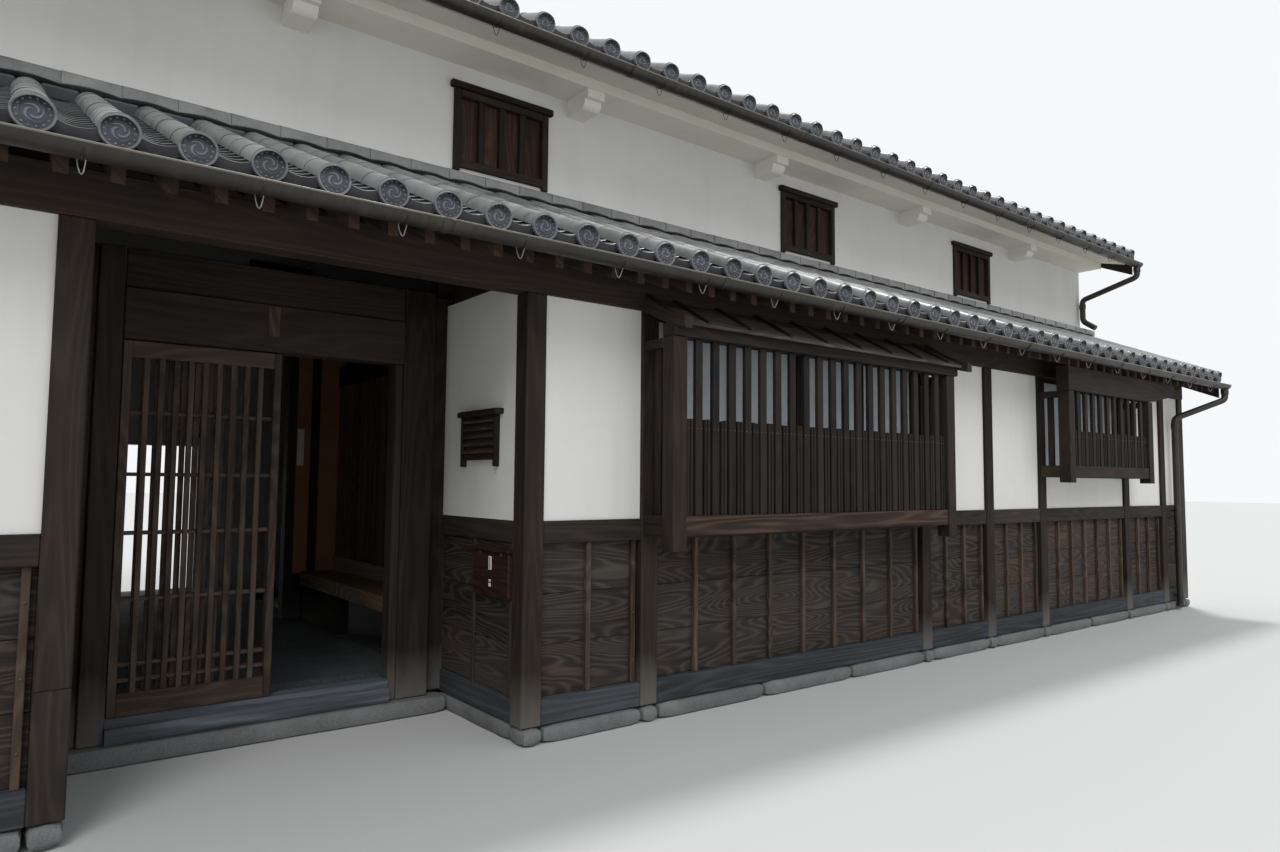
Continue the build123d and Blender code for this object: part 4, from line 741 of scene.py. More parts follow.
def flashing():
    """A band of lapped tiles along the upper wall, scalloped over the rolls, with mortar under it that is coloured dark
    as painted shade under the band.
    """
    lo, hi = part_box("pent_flashing")
    band = Piece("pent_flashing_dressed")
    slope = Slope("pent_tiles", PENT_SLOPE, 1)
    front = hi.z - 0.047
    joint = 0.0006
    for row in range(ROWS):
        x0 = slope.x0 + row * slope.pitch
        lift = band.rng.uniform(0.0, 0.0025)
        rings = []
        for k in range(9):
            t = k / 8
            x = x0 + joint + (slope.pitch - 2 * joint) * t
            low = front - 0.060 - 0.014 * abs(2 * t - 1) ** 1.6
            y = lo.y - 0.005 + 0.006 * t
            section = [(lo.y + 0.02, low), (y + 0.003, low), (y, low + 0.003), (y, front - 0.012),
                       (y + 0.004, front - 0.003), (y + 0.014, front + 0.003), (hi.y - 0.001, hi.z - 0.002)]
            rings.append([(x, a, b + lift) for a, b in section] + [(x, hi.y - 0.001, low)])
        band.strip(rings)
    # Mortar between the rolls' upper ends, painted dark as the shade under the band
    slope.fillets(band, (slope.x0, slope.x1), (-0.02, 0.052), (slope.length - 0.10, slope.length - 0.002), 1)
    band.done([TILE, MORTAR], "roof_tile", "pent_flashing")


# The main ridge's courses, the height of one of them, and the height of the cap
RIDGE_COURSES = 3
COURSE = 0.055
RIDGE_CAP = 0.078


def ridge():
    """Lapped courses of flat tiles under a round cap, with a rounded plate and boss at each end."""
    lo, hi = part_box("main_ridge")
    y = (lo.y + hi.y) / 2
    parts = solids("main_ridge")
    low, high = max(parts, key=lambda b: b[1].x - b[0].x)
    x0, x1 = low.x, high.x
    base = high.z - RIDGE_CAP - RIDGE_COURSES * COURSE
    courses = Piece("main_ridge_courses")
    for k in range(RIDGE_COURSES):
        half = 0.13 - 0.014 * k
        z = base + COURSE * k
        lip = z + 0.028
        count = round((x1 - x0) / 0.28)
        step = (x1 - x0) / count
        odd = k % 2
        for i in range(count + odd):
            a = max(x0, x0 + step * (i - 0.5 * odd))
            b = min(x1, x0 + step * (i + 1 - 0.5 * odd))
            for side in (-1, 1):
                for reach, z0, z1, slot in ((half, z if k else low.z, lip, 0), (half - 0.012, lip, z + COURSE, 1)):
                    y0, y1 = sorted((y, y + side * reach))
                    courses.bar((a + 0.001, y0, z0), (b - 0.001, y1, z1), cut=0.004, slot=slot)
    top = base + RIDGE_COURSES * COURSE
    count = round((x1 - x0) / 0.30)
    for i in range(count):
        a = x0 + (x1 - x0) * i / count
        b = x0 + (x1 - x0) * (i + 1) / count
        courses.strip([[(min(x, x1), y - r * c, top + r * s) for c, s in half_circle(10)]
                       for x, r in ((a, 0.07), (a, 0.079), (a + 0.02, 0.079), (b + 0.006, 0.073))],
                      closed=False, caps=False)
    for node, side in (("main_tiles_front", 1), ("main_tiles_rear", -1)):
        slope = Slope(node, MAIN_SLOPE, side)
        slope.fillets(courses, (x0, x1), (-0.035, 0.05), (slope.length - 0.12, slope.length), 2)
    courses.done([TILE, TILE_DARK, MORTAR], "roof_tile", "main_ridge", angle=50)
    ends = Piece("main_ridge_ends")
    for lo, hi in parts:
        if hi.x - lo.x <= 1:
            ridge_end(ends, lo, hi, y)
    ends.done(TILE, "roof_tile", angle=45)


def ridge_end(ends, lo, hi, y):
    """A rounded plate with a raised border, three drops and a boss."""
    outer, inner = (lo.x, hi.x) if lo.x < 0 else (hi.x, lo.x)
    away = 1 if outer > 0 else -1
    half = (hi.y - lo.y) / 2
    shoulder = (lo.z + hi.z) / 2
    outline = []
    for t in range(25):
        turn = math.pi * t / 24
        outline.append((y + half * math.cos(turn) * (1.0 - 0.10 * math.sin(turn * 2) ** 2),
                        shoulder - 0.04 + (hi.z - shoulder + 0.04) * math.sin(turn)))
    outline += [(y + half * share, lo.z + rise)
                for share, rise in ((-1, 0.03), (-0.55, 0.10), (0, 0.15), (0.55, 0.10), (1, 0.03))]
    middle = shoulder + 0.02
    rings = []
    for x, grow in ((inner, 1.0), (outer - away * 0.008, 1.0), (outer, 0.97), (outer, 0.84),
                    (outer - away * 0.016, 0.8)):
        ring = [(x, y + (a - y) * grow, middle + (b - middle) * grow) for a, b in outline]
        rings.append(ring[::-1] if away < 0 else ring)
    ends.strip(rings)
    boss = Vector((outer - away * 0.012, y, shoulder + 0.06))
    for k in range(3):
        turn = math.pi / 2 + 2 * math.pi * k / 3
        drop = Vector((0, 0.045 * math.cos(turn), 0.045 * math.sin(turn)))
        ends.dome(boss + drop, 0.032, (away, 0, 0), 12)
    ends.dome(boss, 0.018, (away, 0, 0), 10)


def rafters():
    """Rafters with pale sides and reddish ends."""
    lo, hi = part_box("pent_rafters")
    piece = Piece("pent_rafters_dressed")
    drop = 0.075 * math.hypot(1, PENT_SLOPE)
    end = lo.y + 0.004
    for a, b in solids("pent_rafters"):
        for y0, y1, cut, slot in ((lo.y, end, 0.0015, 1), (end, hi.y, 0.0035, 0)):
            ends = [(y, a.z + (y - lo.y) * PENT_SLOPE) for y in (y0, y1)]
            piece.hexa(leaning((a.x, b.x), ends, (0, drop)), 1, cut, slot)
    piece.done([RAFTER, RAFTER_END], "dark_timber", "pent_rafters")


# Gutters: what lies further to the street than this belongs to the pent roof
PENT_GUTTER = -3.8
GUTTER_JOINT = 1.83
# The hooks' step, and the place of one of them, for the pent gutter and for the others
PENT_HOOKS = (0.628, -4.150)
MAIN_HOOKS = (0.672, -1.891)
# A hook's wire under the gutter: along x, across as a share of the radius, and up
WIRE_LOOP = ((-0.014, -0.75, 0.016), (-0.010, -0.60, -0.02), (-0.003, -0.50, -0.044), (0.003, -0.44, -0.050),
             (0.008, -0.34, -0.042), (0.012, -0.1, -0.01), (0.012, 0.0, 0.001))


def trough(y, side, rim, radius):
    """A half-round section, open at the top, from its outer edge to its inner one."""
    return [(y + side * radius * c, rim - radius * s) for c, s in half_circle(12)]


def gutters():
    """Half-round gutters with a beaded rim, collars, end caps, straps and wire hooks."""
    piece = Piece("gutters_dressed")
    hooks = Piece("gutter_straps")
    for lo, hi in solids("gutters"):
        y = (lo.y + hi.y) / 2
        side = -1 if y < 0 else 1
        pent = y < PENT_GUTTER
        radius = (hi.y - lo.y) / 2
        rim = hi.z

        def sheet(x0, x1, outer, inner=None):
            """A half round between two places, as thick as its two radii say, or solid."""
            section = trough(y, side, rim, outer)
            if inner:
                section += trough(y, side, rim, inner)[::-1]
            piece.strip([at_x(x, section[::-1] if side > 0 else section) for x in (x0, x1)])

        sheet(lo.x, hi.x, radius, radius - 0.003)
        bead = y + side * (radius - 0.003)
        # The bead is painted lighter than the gutter, as a glint along its rim
        piece.tube([(lo.x, bead, rim - 0.001), (hi.x, bead, rim - 0.001)], 0.006, 8, slot=1)
        for x in (lo.x, hi.x - 0.003):
            sheet(x, x + 0.003, radius)
        for k in range(1, int((hi.x - lo.x) / GUTTER_JOINT) + 1):
            x = lo.x + k * GUTTER_JOINT
            sheet(x - 0.02, x + 0.02, radius + 0.004, radius - 0.001)
        pitch, shown = PENT_HOOKS if pent else MAIN_HOOKS
        first = (shown - lo.x) % pitch
        back = y - side * radius
        strap = [(back - side * 0.04, rim + 0.008), (back - side * 0.02, rim + 0.004)]
        strap += trough(y, -side, rim, radius + 0.003)[:11]
        for k in range(int((hi.x - lo.x - first) / pitch) + 1):
            x = lo.x + first + k * pitch
            hooks.tube(at_x(x, strap), 0.0028, 6)
            loop = [(x + a, y + side * radius * b, rim - radius + c) for a, b, c in WIRE_LOOP]
            # The same wire is pale on the pent gutter, where it is lit, and dark gutter metal on the main gutters,
            # where it is in shade: painted light and painted shade
            hooks.tube(loop, 0.0024, 6, slot=int(pent))
    piece.done([METAL, RIM_PAINTED_GLINT], "gutter_metal", "gutters", angle=50)
    for lo, hi in solids("gutter_hooks"):
        hooks.bar(lo, hi, axis=1, cut=0.002)
    hooks.done([METAL, WIRE_PAINTED_LIT], "gutter_metal", "gutter_hooks")


# The pipes' radius, the drop under the gutter before the bend, and the heights of the clips
PIPE = 0.037
PIPE_OUTLET = 0.125
PIPE_CLIPS = (0.16, 1.2)
PENT_PIPE = -4


def downpipes():
    """Round pipes with soft bends, collars at the joints and clips."""
    piece = Piece("downpipes_dressed")
    pipes = []
    for lo, hi in solids("downpipes"):
        if hi.z - lo.z > 0.3:
            pipes.append((lo, hi))
        else:
            piece.bar(lo, hi)
    for lo, hi in pipes:
        pent, rear = lo.y < PENT_PIPE, lo.y > 0
        out, down = (hi.x - PIPE, lo.y + PIPE), (lo.x + PIPE, hi.y - PIPE)
        if rear:
            out, down = (out[0], hi.y - PIPE), (down[0], lo.y + PIPE)
        elbow = hi.z - PIPE_OUTLET - (0.24 if pent else 0.23)
        points = [(*out, hi.z), (*out, hi.z - PIPE_OUTLET), (*down, elbow)]
        if pent or rear:
            points.append((*down, lo.z))
        else:
            shoe = lo.z + 0.110 + PIPE * 0.7
            points += [(*down, shoe + 0.01), (down[0], down[1] - 0.163, shoe - 0.105)]
        piece.tube(points, PIPE - 0.001, 16, bend=0.05)
        collars = [(out, hi.z + 0.004, hi.z - 0.06, 0.005), (down, elbow - 0.06, elbow - 0.12, 0.004)]
        if lo.z < 1:
            collars += [(down, z + 0.012, z - 0.012, 0.004) for z in PIPE_CLIPS]
        for place, z0, z1, grow in collars:
            piece.tube([(*place, z0), (*place, z1)], PIPE + grow, 16)
    piece.done(METAL, "gutter_metal", "downpipes", angle=50)


# Lattices: the widths of their bars, the bars' depth, and the nailed rail's place under the open part
MAIN_BAR = 0.058
THIN_BAR = 0.02
BAR_DEPTH = 0.03
NAILED_RAIL = 0.06


def lattice(prefix, count, open_height):
    """Main bars, pairs of thin bars that end below the open part, and the nailed cross rail."""
    node = prefix + "_lattice_bars"
    lo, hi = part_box(node)
    y0, y1 = lo.y, lo.y + BAR_DEPTH
    zone = hi.z - open_height
    step = (hi.x - lo.x + MAIN_BAR) / (count + 1)
    gap = (step - MAIN_BAR) / 3
    half = MAIN_BAR / 2
    piece = Piece(prefix + "_bars")
    nails = Piece(prefix + "_nails")
    z = zone - NAILED_RAIL
    for k in range(count + 2):
        x = lo.x - half + k * step
        if 0 < k < count + 1:
            piece.bar((x - half, y0, lo.z), (x + half, y1, hi.z))
            for dx in (-0.017, 0.017):
                nails.dome((x + dx, y0, z), 0.006, STREET)
        if k < count + 1:
            for t in (x + half + gap, x + half + 2 * gap):
                top = zone + piece.rng.uniform(-0.004, 0.004)
                piece.bar((t - THIN_BAR / 2, y0 + 0.002, lo.z), (t + THIN_BAR / 2, y1 - 0.001, top), cut=0.002)
                nails.dome((t, y0 + 0.002, z), 0.005, STREET)
    piece.bar((lo.x, y1, z - 0.018), (hi.x, y1 + 0.014, z + 0.018), cut=0.002)
    piece.done(SIDE, "dark_timber", node)
    nails.done(IRON, "dark_timber")


def bay_timber(piece, lo, hi):
    """A timber of the large lattice's frame; the long low one is its heavy rail."""
    size = hi - lo
    if size.x > 2.5 and lo.z < 1.5:
        bay_rail(piece, lo, hi)
    else:
        piece.bar(lo, hi, cut=0.005 if size.z > 1.0 and size.x > 0.1 else 0.004)


def bay_rail(piece, lo, hi):
    """The heavy rail under the bars: its lower front edge keeps the round of the log."""
    rings = []
    for k in range(25):
        t = k / 24
        wane = 0.012 + 0.036 * math.exp(-((t - 0.66) / 0.2) ** 2) + 0.003 * math.sin(t * 23) + 0.002 * math.sin(t * 57)
        section = [(hi.y, lo.z), (hi.y, hi.z - 0.004), (hi.y - 0.004, hi.z), (lo.y + 0.005, hi.z), (lo.y, hi.z - 0.005)]
        section += [(lo.y + wane * (1 - c), lo.z + wane * (1 - s)) for c, s in half_circle(8)[:5]]
        rings.append(at_x(lo.x + (hi.x - lo.x) * k / 24, section[::-1]))
    piece.strip(rings, slot=1)


def bay_canopy():
    """Grey boards with sloping battens between two arms that curve out from the beam."""
    parts = solids("bay_canopy")
    board = max(parts, key=lambda b: b[1].x - b[0].x)
    lo, hi = board
    piece = Piece("bay_canopy_dressed")
    thick = 0.022
    batten = 0.018
    low, high = (lo.y, lo.z), (hi.y, hi.z - thick - batten)
    rise = hi.z - lo.z - thick - batten
    boards = 3
    edges = [(lo.y + (hi.y - lo.y) * k / boards, lo.z + rise * k / boards) for k in range(boards + 1)]
    for ends in zip(edges, edges[1:]):
        piece.hexa(leaning((lo.x, hi.x), ends, (0, thick - 0.001)), 0, 0.002)
    count = 8
    step = (hi.x - lo.x) / count
    for k in range(count):
        x = lo.x + (k + 0.5) * step
        corners = leaning((x - 0.013, x + 0.013), (low, high), (thick - 0.001, thick + batten))
        piece.hexa(corners, 1, 0.003, slot=1)
    for part in parts:
        if part is not board:
            arm(piece, *part)
    piece.done([CANOPY, SIDE, DARK], "dark_timber", "bay_canopy")


def arm(piece, lo, hi):
    """A carved arm: its top and underside sag in a long curve to a blunt tip with a small nub."""
    top0, top1 = hi.z, lo.z + 0.084
    foot0, foot1 = hi.z - 0.116, lo.z
    c = 0.005
    rings = []
    for k in range(15):
        t = k / 14
        y = hi.y + (lo.y - hi.y) * t
        sag = 4 * t * (1 - t)
        top = top0 + (top1 - top0) * t - 0.028 * sag
        low = foot0 + (foot1 - foot0) * t - 0.014 * sag
        if t > 0.93:
            top -= 0.01
            low += 0.006
        rings.append([(x, y, z) for x, z in ((lo.x + c, low), (lo.x, low + c), (lo.x, top - c), (lo.x + c, top),
                                             (hi.x - c, top), (hi.x, top - c), (hi.x, low + c), (hi.x - c, low))])
    piece.strip(rings[::-1], slot=2)


def small_timber(piece, lo, hi):
    """A timber of the small lattice's frame; the long beam at its head thins towards its free end."""
    if hi.x - lo.x <= 2.0:
        piece.bar(lo, hi, cut=0.004)
        return
    c = 0.006
    tail = hi.x
    bend = tail - 0.595
    rings = []
    for x, rise in ((lo.x, 0), (bend - 0.2, 0), (bend + 0.05, 0.012), ((bend + tail) / 2, 0.055), (tail, 0.108)):
        z = lo.z + rise
        section = [(lo.y + c, z), (lo.y, z + c), (lo.y, hi.z - c), (lo.y + c, hi.z), (hi.y, hi.z), (hi.y, z)]
        rings.append(at_x(x, section[::-1]))
    piece.strip(rings)


# Entrance
def entrance():
    lintel = Piece("door_lintel_dressed")
    lo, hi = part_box("door_lintel")
    front = lo.y + 0.006
    tie_x = (lo.x + hi.x - 0.052) / 2
    top = lo.z + 0.275
    lintel.bar((lo.x, front, lo.z), (hi.x, hi.y, top), cut=0.006)
    lintel.bar((tie_x - 0.033, lo.y, top - 0.186), (tie_x + 0.033, front + 0.004, top - 0.008),
               slot=1)
    lintel.bar((lo.x, front + 0.02, top), (hi.x, hi.y, hi.z), cut=0.006)
    lintel.done([DARK, RED], "dark_timber", "door_lintel")
    sill = Piece("door_threshold_dressed")
    lo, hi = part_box("door_threshold")
    rings = []
    for k in range(21):
        w = 0.003 * math.sin(k * 1.7) + 0.002 * math.sin(k * 0.6)
        section = [(hi.y, lo.z), (hi.y, hi.z), (lo.y + 0.040, hi.z), (lo.y + 0.034, hi.z - 0.006),
                   (lo.y + 0.034, hi.z - 0.044), (lo.y + 0.012, hi.z - 0.047 + w * 0.5),
                   (lo.y + w + 0.003, hi.z - 0.058), (lo.y + w + 0.002, lo.z + 0.02), (lo.y + 0.014, lo.z)]
        rings.append(at_x(lo.x + (hi.x - lo.x) * k / 20, section[::-1]))
    sill.strip(rings)
    sill.done(THRESHOLD, "weathered_timber", "door_threshold", angle=30)


# The rear doorway's sides and top
REAR_DOOR = (-3.950, -3.020, 1.865)


def rear_frame():
    """Plain casing round the doorway at the back."""
    casing = Piece("rear_door_casing")
    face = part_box("rear_wall")[1].y
    x0, x1, top = REAR_DOOR
    for a, b in ((x0 - 0.1, x0), (x1, x1 + 0.1)):
        casing.bar((a, face, 0.11), (b, face + 0.022, top), cut=0.004)
    casing.bar((x0 - 0.14, face, top), (x1 + 0.14, face + 0.03, top + 0.13), cut=0.005)
    casing.done(DARK, "dark_timber")


def porch_board(piece, lo, hi):
    """The porch's boards with two battens on the side that faces in, and their rails and sills."""
    if hi.z - lo.z <= 0.5:
        piece.bar(lo, hi, cut=0.006, slot=2 if lo.z < 0.15 else 1)
        return
    piece.boards(lo, hi, 2, 0.29, 0.002, 0.004)
    x, away = (lo.x, -0.014) if lo.x > -3.5 else (hi.x, 0.014)
    x0, x1 = sorted((x, x + away))
    for y in (lo.y + 0.02, (lo.y + hi.y) / 2):
        piece.bar((x0, y, lo.z), (x1, y + 0.035, hi.z), slot=1)


def louvre():
    """The slatted frame on the porch's right-hand wall, with a head board over it."""
    piece = Piece("porch_louvre_dressed")
    lo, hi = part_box("porch_louvre")
    face = lo.x + 0.017
    top = hi.z - 0.035
    near = lo.y + 0.045
    y0, y1 = near + 0.045, hi.y - 0.022
    stile, leg = 0.018, 0.042
    piece.bar((lo.x, near, top), (hi.x, hi.y, hi.z), cut=0.004)
    for a in (y0, y1 - stile):
        piece.bar((face, a, lo.z), (hi.x, a + stile, top))
    low = lo.z + leg
    shelf = low + 0.032
    y0, y1 = y0 + stile, y1 - stile
    piece.bar((face + 0.004, y0, low), (hi.x, y1, shelf))
    piece.bar((hi.x - 0.002, y0, shelf), (hi.x, y1, top), cut=0.0005, slot=1)
    slats = 5
    step = (top - shelf) / slats
    for k in range(slats):
        z = shelf + (k + 0.5) * step
        corners = [(x, y, z + dz + t) for t in (-0.006, 0.006) for y in (y0, y1)
                   for x, dz in ((face + 0.008, -step / 4), (hi.x - 0.002, step / 4))]
        piece.hexa(corners, 1, 0.002, slot=2)
    piece.done([DARK, UNDER_BOARD, BATTEN], "dark_timber", "porch_louvre")


# Pale marks on the letter box: their foot, top and half width
BOX_MARKS = ((0.950, 1.030, 0.018), (0.880, 0.894, 0.011), (0.852, 0.872, 0.013))


def letter_box():
    """The box under the louvre, with its lid, two hinges, marks and a slot."""
    piece = Piece("letter_box_dressed")
    lo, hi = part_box("letter_box")
    face = lo.x + 0.011
    y0, y1 = lo.y + 0.011, hi.y - 0.011
    lid = hi.z - 0.022
    piece.bar((face, y0, lo.z), (hi.x, y1, lid), axis=1, cut=0.004)
    piece.bar((lo.x, lo.y, lid), (hi.x, hi.y, hi.z), axis=1, cut=0.004)
    middle = (y0 + y1) / 2
    plate = face - 0.003
    for z0, z1, half in BOX_MARKS:
        piece.bar((plate, middle - half, z0), (face, middle + half, z1), axis=2, cut=0.001, slot=1)
    piece.bar((face - 0.006, middle - 0.003, 0.957), (plate, middle + 0.003, 1.023), axis=2, cut=0.001, slot=2)
    for y in (y0 + 0.09, y1 - 0.09):
        piece.bar((plate, y - 0.012, lid - 0.02), (face, y + 0.012, lid), axis=2, cut=0.001, slot=2)
    piece.done([BOX, SHEET, IRON], "box_timber", "letter_box")


# Heights of a door leaf's thin rails
LEAF_RAILS = (0.182, 0.264, 0.600, 0.948, 1.259, 1.588)


def door(node, body, count):
    """One lattice leaf: upright bars, six thin rails behind them, and a solid foot."""
    lo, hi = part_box(node)
    stile, top_rail, foot = 0.042, 0.088, 0.118
    piece = Piece(node + "_dressed")
    piece.stiles(lo, hi, stile, 0.003)
    x0, x1 = lo.x + stile, hi.x - stile
    low, high = lo.z + foot, hi.z - top_rail
    for z0, z1 in ((high, hi.z), (lo.z, low)):
        piece.bar((x0, lo.y + 0.001, z0), (x1, hi.y - 0.001, z1))
    step = (x1 - x0) / (count + 1)
    y = lo.y + 0.003
    for k in range(1, count + 1):
        x = x0 + k * step
        piece.bar((x - 0.014, y, low), (x + 0.014, y + 0.018, high), cut=0.002)
    for height in LEAF_RAILS:
        z = lo.z + height
        piece.bar((x0, y + 0.0175, z - 0.010), (x1, y + 0.0275, z + 0.010), cut=0.0015)
    piece.done(DOOR, "door_timber", node, body=body)


# Upper windows, each parted by its bars into so many fields
WINDOW_FIELDS = 4


def window_frame(piece, lo, hi):
    """A frame whose posts run down past the bottom rail, with bars in it and a head board over it."""
    edge = 0.05
    side = -1 if lo.y < 0 else 1
    wall = hi.y - 0.075 if side < 0 else lo.y + 0.075
    head = hi.z - 0.048
    x0, x1 = lo.x + 0.03, hi.x - 0.03
    y0, y1 = sorted((wall, wall + side * 0.045))
    piece.bar((lo.x, y0, head), (hi.x, y1, hi.z), cut=0.005)
    y0, y1 = sorted((wall + side * 0.025, wall - side * 0.075))
    piece.stiles((x0, y0, lo.z), (x1, y1, head), edge, 0.004)
    foot = lo.z + 0.024
    sill = foot + 0.06
    for a, b in ((foot, sill), (head - edge, head)):
        piece.bar((x0 + edge, y0, a), (x1 - edge, y1, b), cut=0.004)
    gap = (x1 - x0 - 2 * edge) / WINDOW_FIELDS
    y0, y1 = sorted((wall + side * 0.012, wall - side * 0.019))
    for k in range(1, WINDOW_FIELDS):
        x = x0 + edge + k * gap
        piece.bar((x - 0.023, y0, sill), (x + 0.023, y1, head - edge))


def shutter(piece, lo, hi):
    piece.boards(lo, hi, 0, 0.165, 0.002, 0.003)


# Stones: the step of their mesh, and how far in from an edge they are worn
STONE_STEP = 0.09
WORN_EDGE = 0.016


def stones():
    """Foundation stones with worn, uneven edges and faces."""
    piece = Piece("foundation_stones_dressed")
    for lo, hi in solids("foundation_stones"):
        # One draw is made and not used, which sets where the later ones fall. One draw
        # is left out, so that the later ones fall as they always did
        piece.rng.random()
        size = hi - lo
        n = [max(2, min(40, round(length / STONE_STEP))) for length in (size.x, size.y)] + [3]
        tone = piece.tone()
        seed = piece.rng.uniform(0, 50)
        for axis in range(3):
            a, b = (axis + 1) % 3, (axis + 2) % 3
            wide = n[b] + 1
            for high in (0, 1):
                verts = []
                for i in range(n[a] + 1):
                    for j in range(wide):
                        shares = {axis: high, a: i / n[a], b: j / n[b]}
                        verts.append(worn(lo, size, [shares[k] for k in range(3)], seed))
                faces = []
                for i in range(n[a]):
                    for j in range(n[b]):
                        quad = [i * wide + j, (i + 1) * wide + j, (i + 1) * wide + j + 1, i * wide + j + 1]
                        faces.append(quad if high else quad[::-1])
                piece.add(verts, faces, [(tone + 0.5 + v.x % 3, v.y + v.z) for v in verts])
    weld(piece)
    piece.done(STONE, "plinth_stone", "foundation_stones", angle=60)


def worn(lo, size, p, seed):
    """A point on a stone's box, pulled in a little at the edges and unevenly over the faces."""
    point = Vector([lo[k] + p[k] * size[k] for k in range(3)])
    near = [max(0.0, 1 - min(share, 1 - share) * length / WORN_EDGE) for share, length in zip(p, size)]
    toward = [1 if share < 0.5 else -1 for share in p]
    touch = sum(near)
    for k in range(3):
        if near[k] > 0 and touch > 1:
            point[k] += toward[k] * 0.008 * (touch - 1)
    q = point * 9 + Vector((seed, seed * 0.7, seed * 0.3))
    waves = ((q.x * 1.3, q.y * 2.1), (q.y * 1.7, q.z * 1.9), (q.z * 2.3, q.x * 0.9))
    ripple = 0.0022 * sum(math.sin(a + math.sin(b)) for a, b in waves)
    for k in range(2):
        if near[k] > 0:
            point[k] += toward[k] * abs(ripple)
    return point


def weld(piece):
    """Join vertices that fall on the same place, so that shading runs round the edges."""
    index = {}
    remap = []
    verts = []
    for v in piece.verts:
        key = tuple(round(c, 5) for c in v)
        if key not in index:
            index[key] = len(verts)
            verts.append(v)
        remap.append(index[key])
    piece.verts = verts
    piece.faces = [[remap[i] for i in face] for face in piece.faces]


# Screens and what shows through the door
def screen_frame(piece, lo, hi):
    edge = 0.04
    rows = 5
    piece.stiles(lo, hi, edge, 0.002)
    x0, x1 = lo.x + edge, hi.x - edge
    for z in (lo.z, hi.z - edge):
        piece.bar((x0, lo.y, z), (x1, hi.y, z + edge), cut=0.002)
    middle = (lo.y + hi.y) / 2
    for k in range(1, rows):
        z = lo.z + (hi.z - lo.z) * k / rows
        piece.bar((x0, middle + 0.003, z - 0.004), (x1, hi.y - 0.002, z + 0.004), cut=0.001)


# The timber foot of the clay panels, and the drain's place in the passage
CLAY_FOOT = 0.6
DRAIN = (-2.80, 0.20)


def floor_part(piece, lo, hi):
    """The raised floor's boards, its frame and the step sill on it."""
    height = hi.z - lo.z
    if height < 0.06:
        piece.boards(lo, hi, 0, 0.2, 0.0015, 0.002)
    else:
        piece.bar(lo, hi, cut=0.006, slot=2 if lo.z > 0.6 else 1 if height > 0.3 else 0)


def clay_panel(piece, lo, hi):
    if hi.y - lo.y > 0.1:
        piece.bar(lo, hi, cut=0.004, slot=1)
    else:
        piece.bar(lo, (hi.x, hi.y, CLAY_FOOT), cut=0.0005, slot=1)
        piece.bar((lo.x, lo.y, CLAY_FOOT), hi, cut=0.0005)


def plain_sheet():
    """A blank sheet on the clay wall's first panel."""
    lo = next(lo for lo, hi in solids("clay_partition") if hi.y - lo.y <= 0.1)
    piece = Piece("plain_sheet")
    piece.bar((lo.x + 0.012, lo.y - 0.004, 1.606), (lo.x + 0.072, lo.y - 0.001, 1.951), cut=0.001)
    piece.done(SHEET, "screen_paper")


def plank(piece, lo, hi):
    if hi.x - lo.x < 0.05:
        piece.boards(lo, hi, 1, 0.125, 0.003, 0.003)
    else:
        piece.bar(lo, hi, cut=0.004, slot=1 if hi.z - lo.z > 1 else 2)


def floor_drain():
    piece = Piece("floor_drain")
    centre = Vector((*DRAIN, NODES["passage_floor"].bound_box[6][2]))
    piece.strip([[centre + Vector((r * c, r * s, h)) for c, s in circle(28)]
                 for r, h in ((0.17, -0.004), (0.17, 0.004), (0.155, 0.004), (0.15, -0.002), (0.002, -0.002))],
                caps=False)
    piece.done(IRON, "earth_floor")


dress("front_posts", [DARK, RAIL], "dark_timber", front_post)
dress("front_beam", DARK, "dark_timber", timber(0.006))
dress("front_sills", PALE, "weathered_timber", timber(0.006))
dress("wainscot_rails", RAIL, "dark_timber", timber(0.005))
wainscot()
roofs()
flashing()
ridge()
rafters()
gutters()
downpipes()
lattice("bay", 19, 0.498)
lattice("small", 10, 0.386)
dress("bay_lattice_frame", [DARK, RED], "dark_timber", bay_timber, "bay_frame_dressed")
bay_canopy()
dress("small_lattice_frame", DARK, "dark_timber", small_timber, "small_frame_dressed")
dress("door_posts", DARK, "dark_timber", timber(0.006))
entrance()
rear_frame()
dress("porch_wainscot", [BOARD, RAIL, PALE], "weathered_board", porch_board, "porch_boards")
louvre()
letter_box()
door("front_door_leaf", "front_leaf", 9)
door("rear_door_leaf", "rear_leaf", 10)
dress("upper_window_frames", DARK, "dark_timber", window_frame)
dress("upper_shutters", SHUTTER, "shutter_timber", shutter)
stones()
dress("screen_frames", SIDE, "dark_timber", screen_frame)
dress("raised_floor", [FLOOR_WOOD, DARK, SILL], "floor_timber", floor_part)
dress("clay_partition", [ORANGE, DARK], "clay_wall", clay_panel)
plain_sheet()
dress("plank_wall", [PLANK, PALE, DARK], "floor_timber", plank)
floor_drain()


# Stage, light and camera
def stage():
    mesh = bpy.data.meshes.new("studio_floor")
    span = 90.0
    mesh.from_pydata([(-span, -span, 0), (span, -span, 0), (span, span, 0), (-span, span, 0)], [], [(0, 1, 2, 3)])
    n = Nodes("studio_floor", 0.9, spec=0.1)
    n.shader.inputs["Base Color"].default_value = (0.55, 0.55, 0.54, 1)
    mesh.materials.append(n.material)
    floor = bpy.data.objects.new("studio_floor", mesh)
    bpy.context.scene.collection.objects.link(floor)
    floor.location.z = -0.001


# Suns: strength, width in degrees and direction
SUNS = {"key": (1.2, 30.0, (0.55, 0.75, -0.85)), "back": (1.8, 9.0, (-0.3, -0.25, -1.0))}


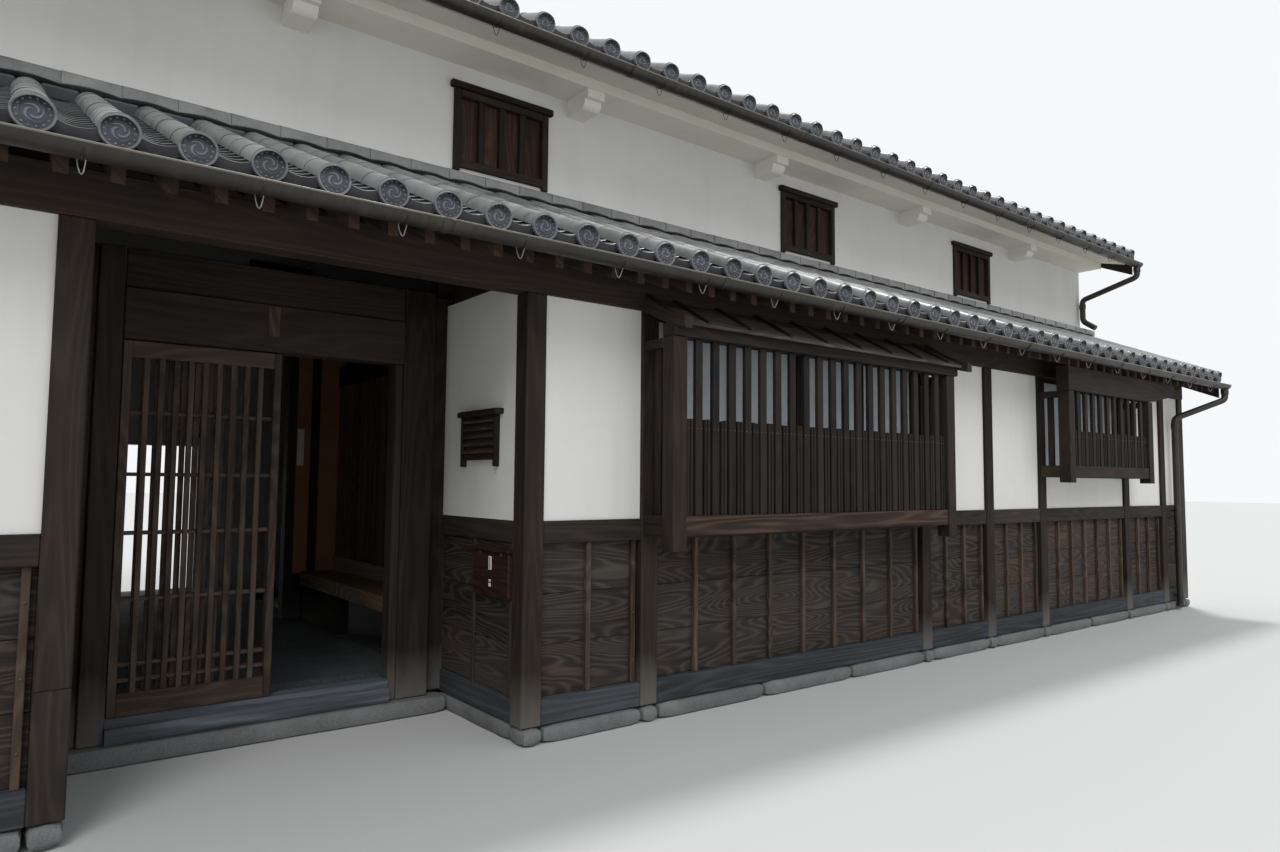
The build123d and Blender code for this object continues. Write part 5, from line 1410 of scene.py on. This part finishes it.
def lights():
    """A sky that lights softly and shows plainly, and two suns."""
    world = bpy.data.worlds.new("studio")
    bpy.context.scene.world = world
    world.use_nodes = True
    tree = world.node_tree
    lit = tree.nodes["Background"]
    seen = tree.nodes.new("ShaderNodeBackground")
    for sky, colour, strength in ((lit, (0.93, 0.96, 1.0, 1), 0.75), (seen, (0.93, 0.95, 0.97, 1), 1.0)):
        sky.inputs[0].default_value = colour
        sky.inputs[1].default_value = strength
    path = tree.nodes.new("ShaderNodeLightPath")
    either = tree.nodes.new("ShaderNodeMath")
    either.operation = "MAXIMUM"
    tree.links.new(path.outputs["Is Camera Ray"], either.inputs[0])
    tree.links.new(path.outputs["Is Glossy Ray"], either.inputs[1])
    mix = tree.nodes.new("ShaderNodeMixShader")
    for index, source in enumerate((either, lit, seen)):
        tree.links.new(source.outputs[0], mix.inputs[index])
    tree.links.new(mix.outputs[0], tree.nodes["World Output"].inputs["Surface"])
    for name, (strength, angle, direction) in SUNS.items():
        light = bpy.data.lights.new(name, "SUN")
        light.energy = strength
        light.angle = math.radians(angle)
        lamp = bpy.data.objects.new(name, light)
        lamp.rotation_euler = Vector(direction).to_track_quat("-Z", "Y").to_euler()
        bpy.context.scene.collection.objects.link(lamp)


# The camera as fitted to the photograph: its place, its turns in degrees and its focal length in pixels
CAMERA_PLACE = (-5.0, -7.8975, 1.475)
CAMERA_TURNS = (37.73, 3.825, 0.467)
FOCAL_PIXELS = 840.4
PHOTO_WIDTH = 1280
SENSOR = 36.0


def camera():
    data = bpy.data.cameras.new("camera")
    data.sensor_width = SENSOR
    data.lens = FOCAL_PIXELS / PHOTO_WIDTH * SENSOR
    data.clip_end = 400.0
    obj = bpy.data.objects.new("camera", data)
    yaw, pitch, roll = map(math.radians, CAMERA_TURNS)
    obj.matrix_world = (Matrix.Translation(CAMERA_PLACE) @ Matrix.Rotation(-yaw, 4, "Z")
                        @ Matrix.Rotation(math.pi / 2 + pitch, 4, "X") @ Matrix.Rotation(roll, 4, "Z"))
    bpy.context.scene.collection.objects.link(obj)
    bpy.context.scene.camera = obj


stage()
lights()
camera()
bpy.context.scene.view_settings.view_transform = "Standard"
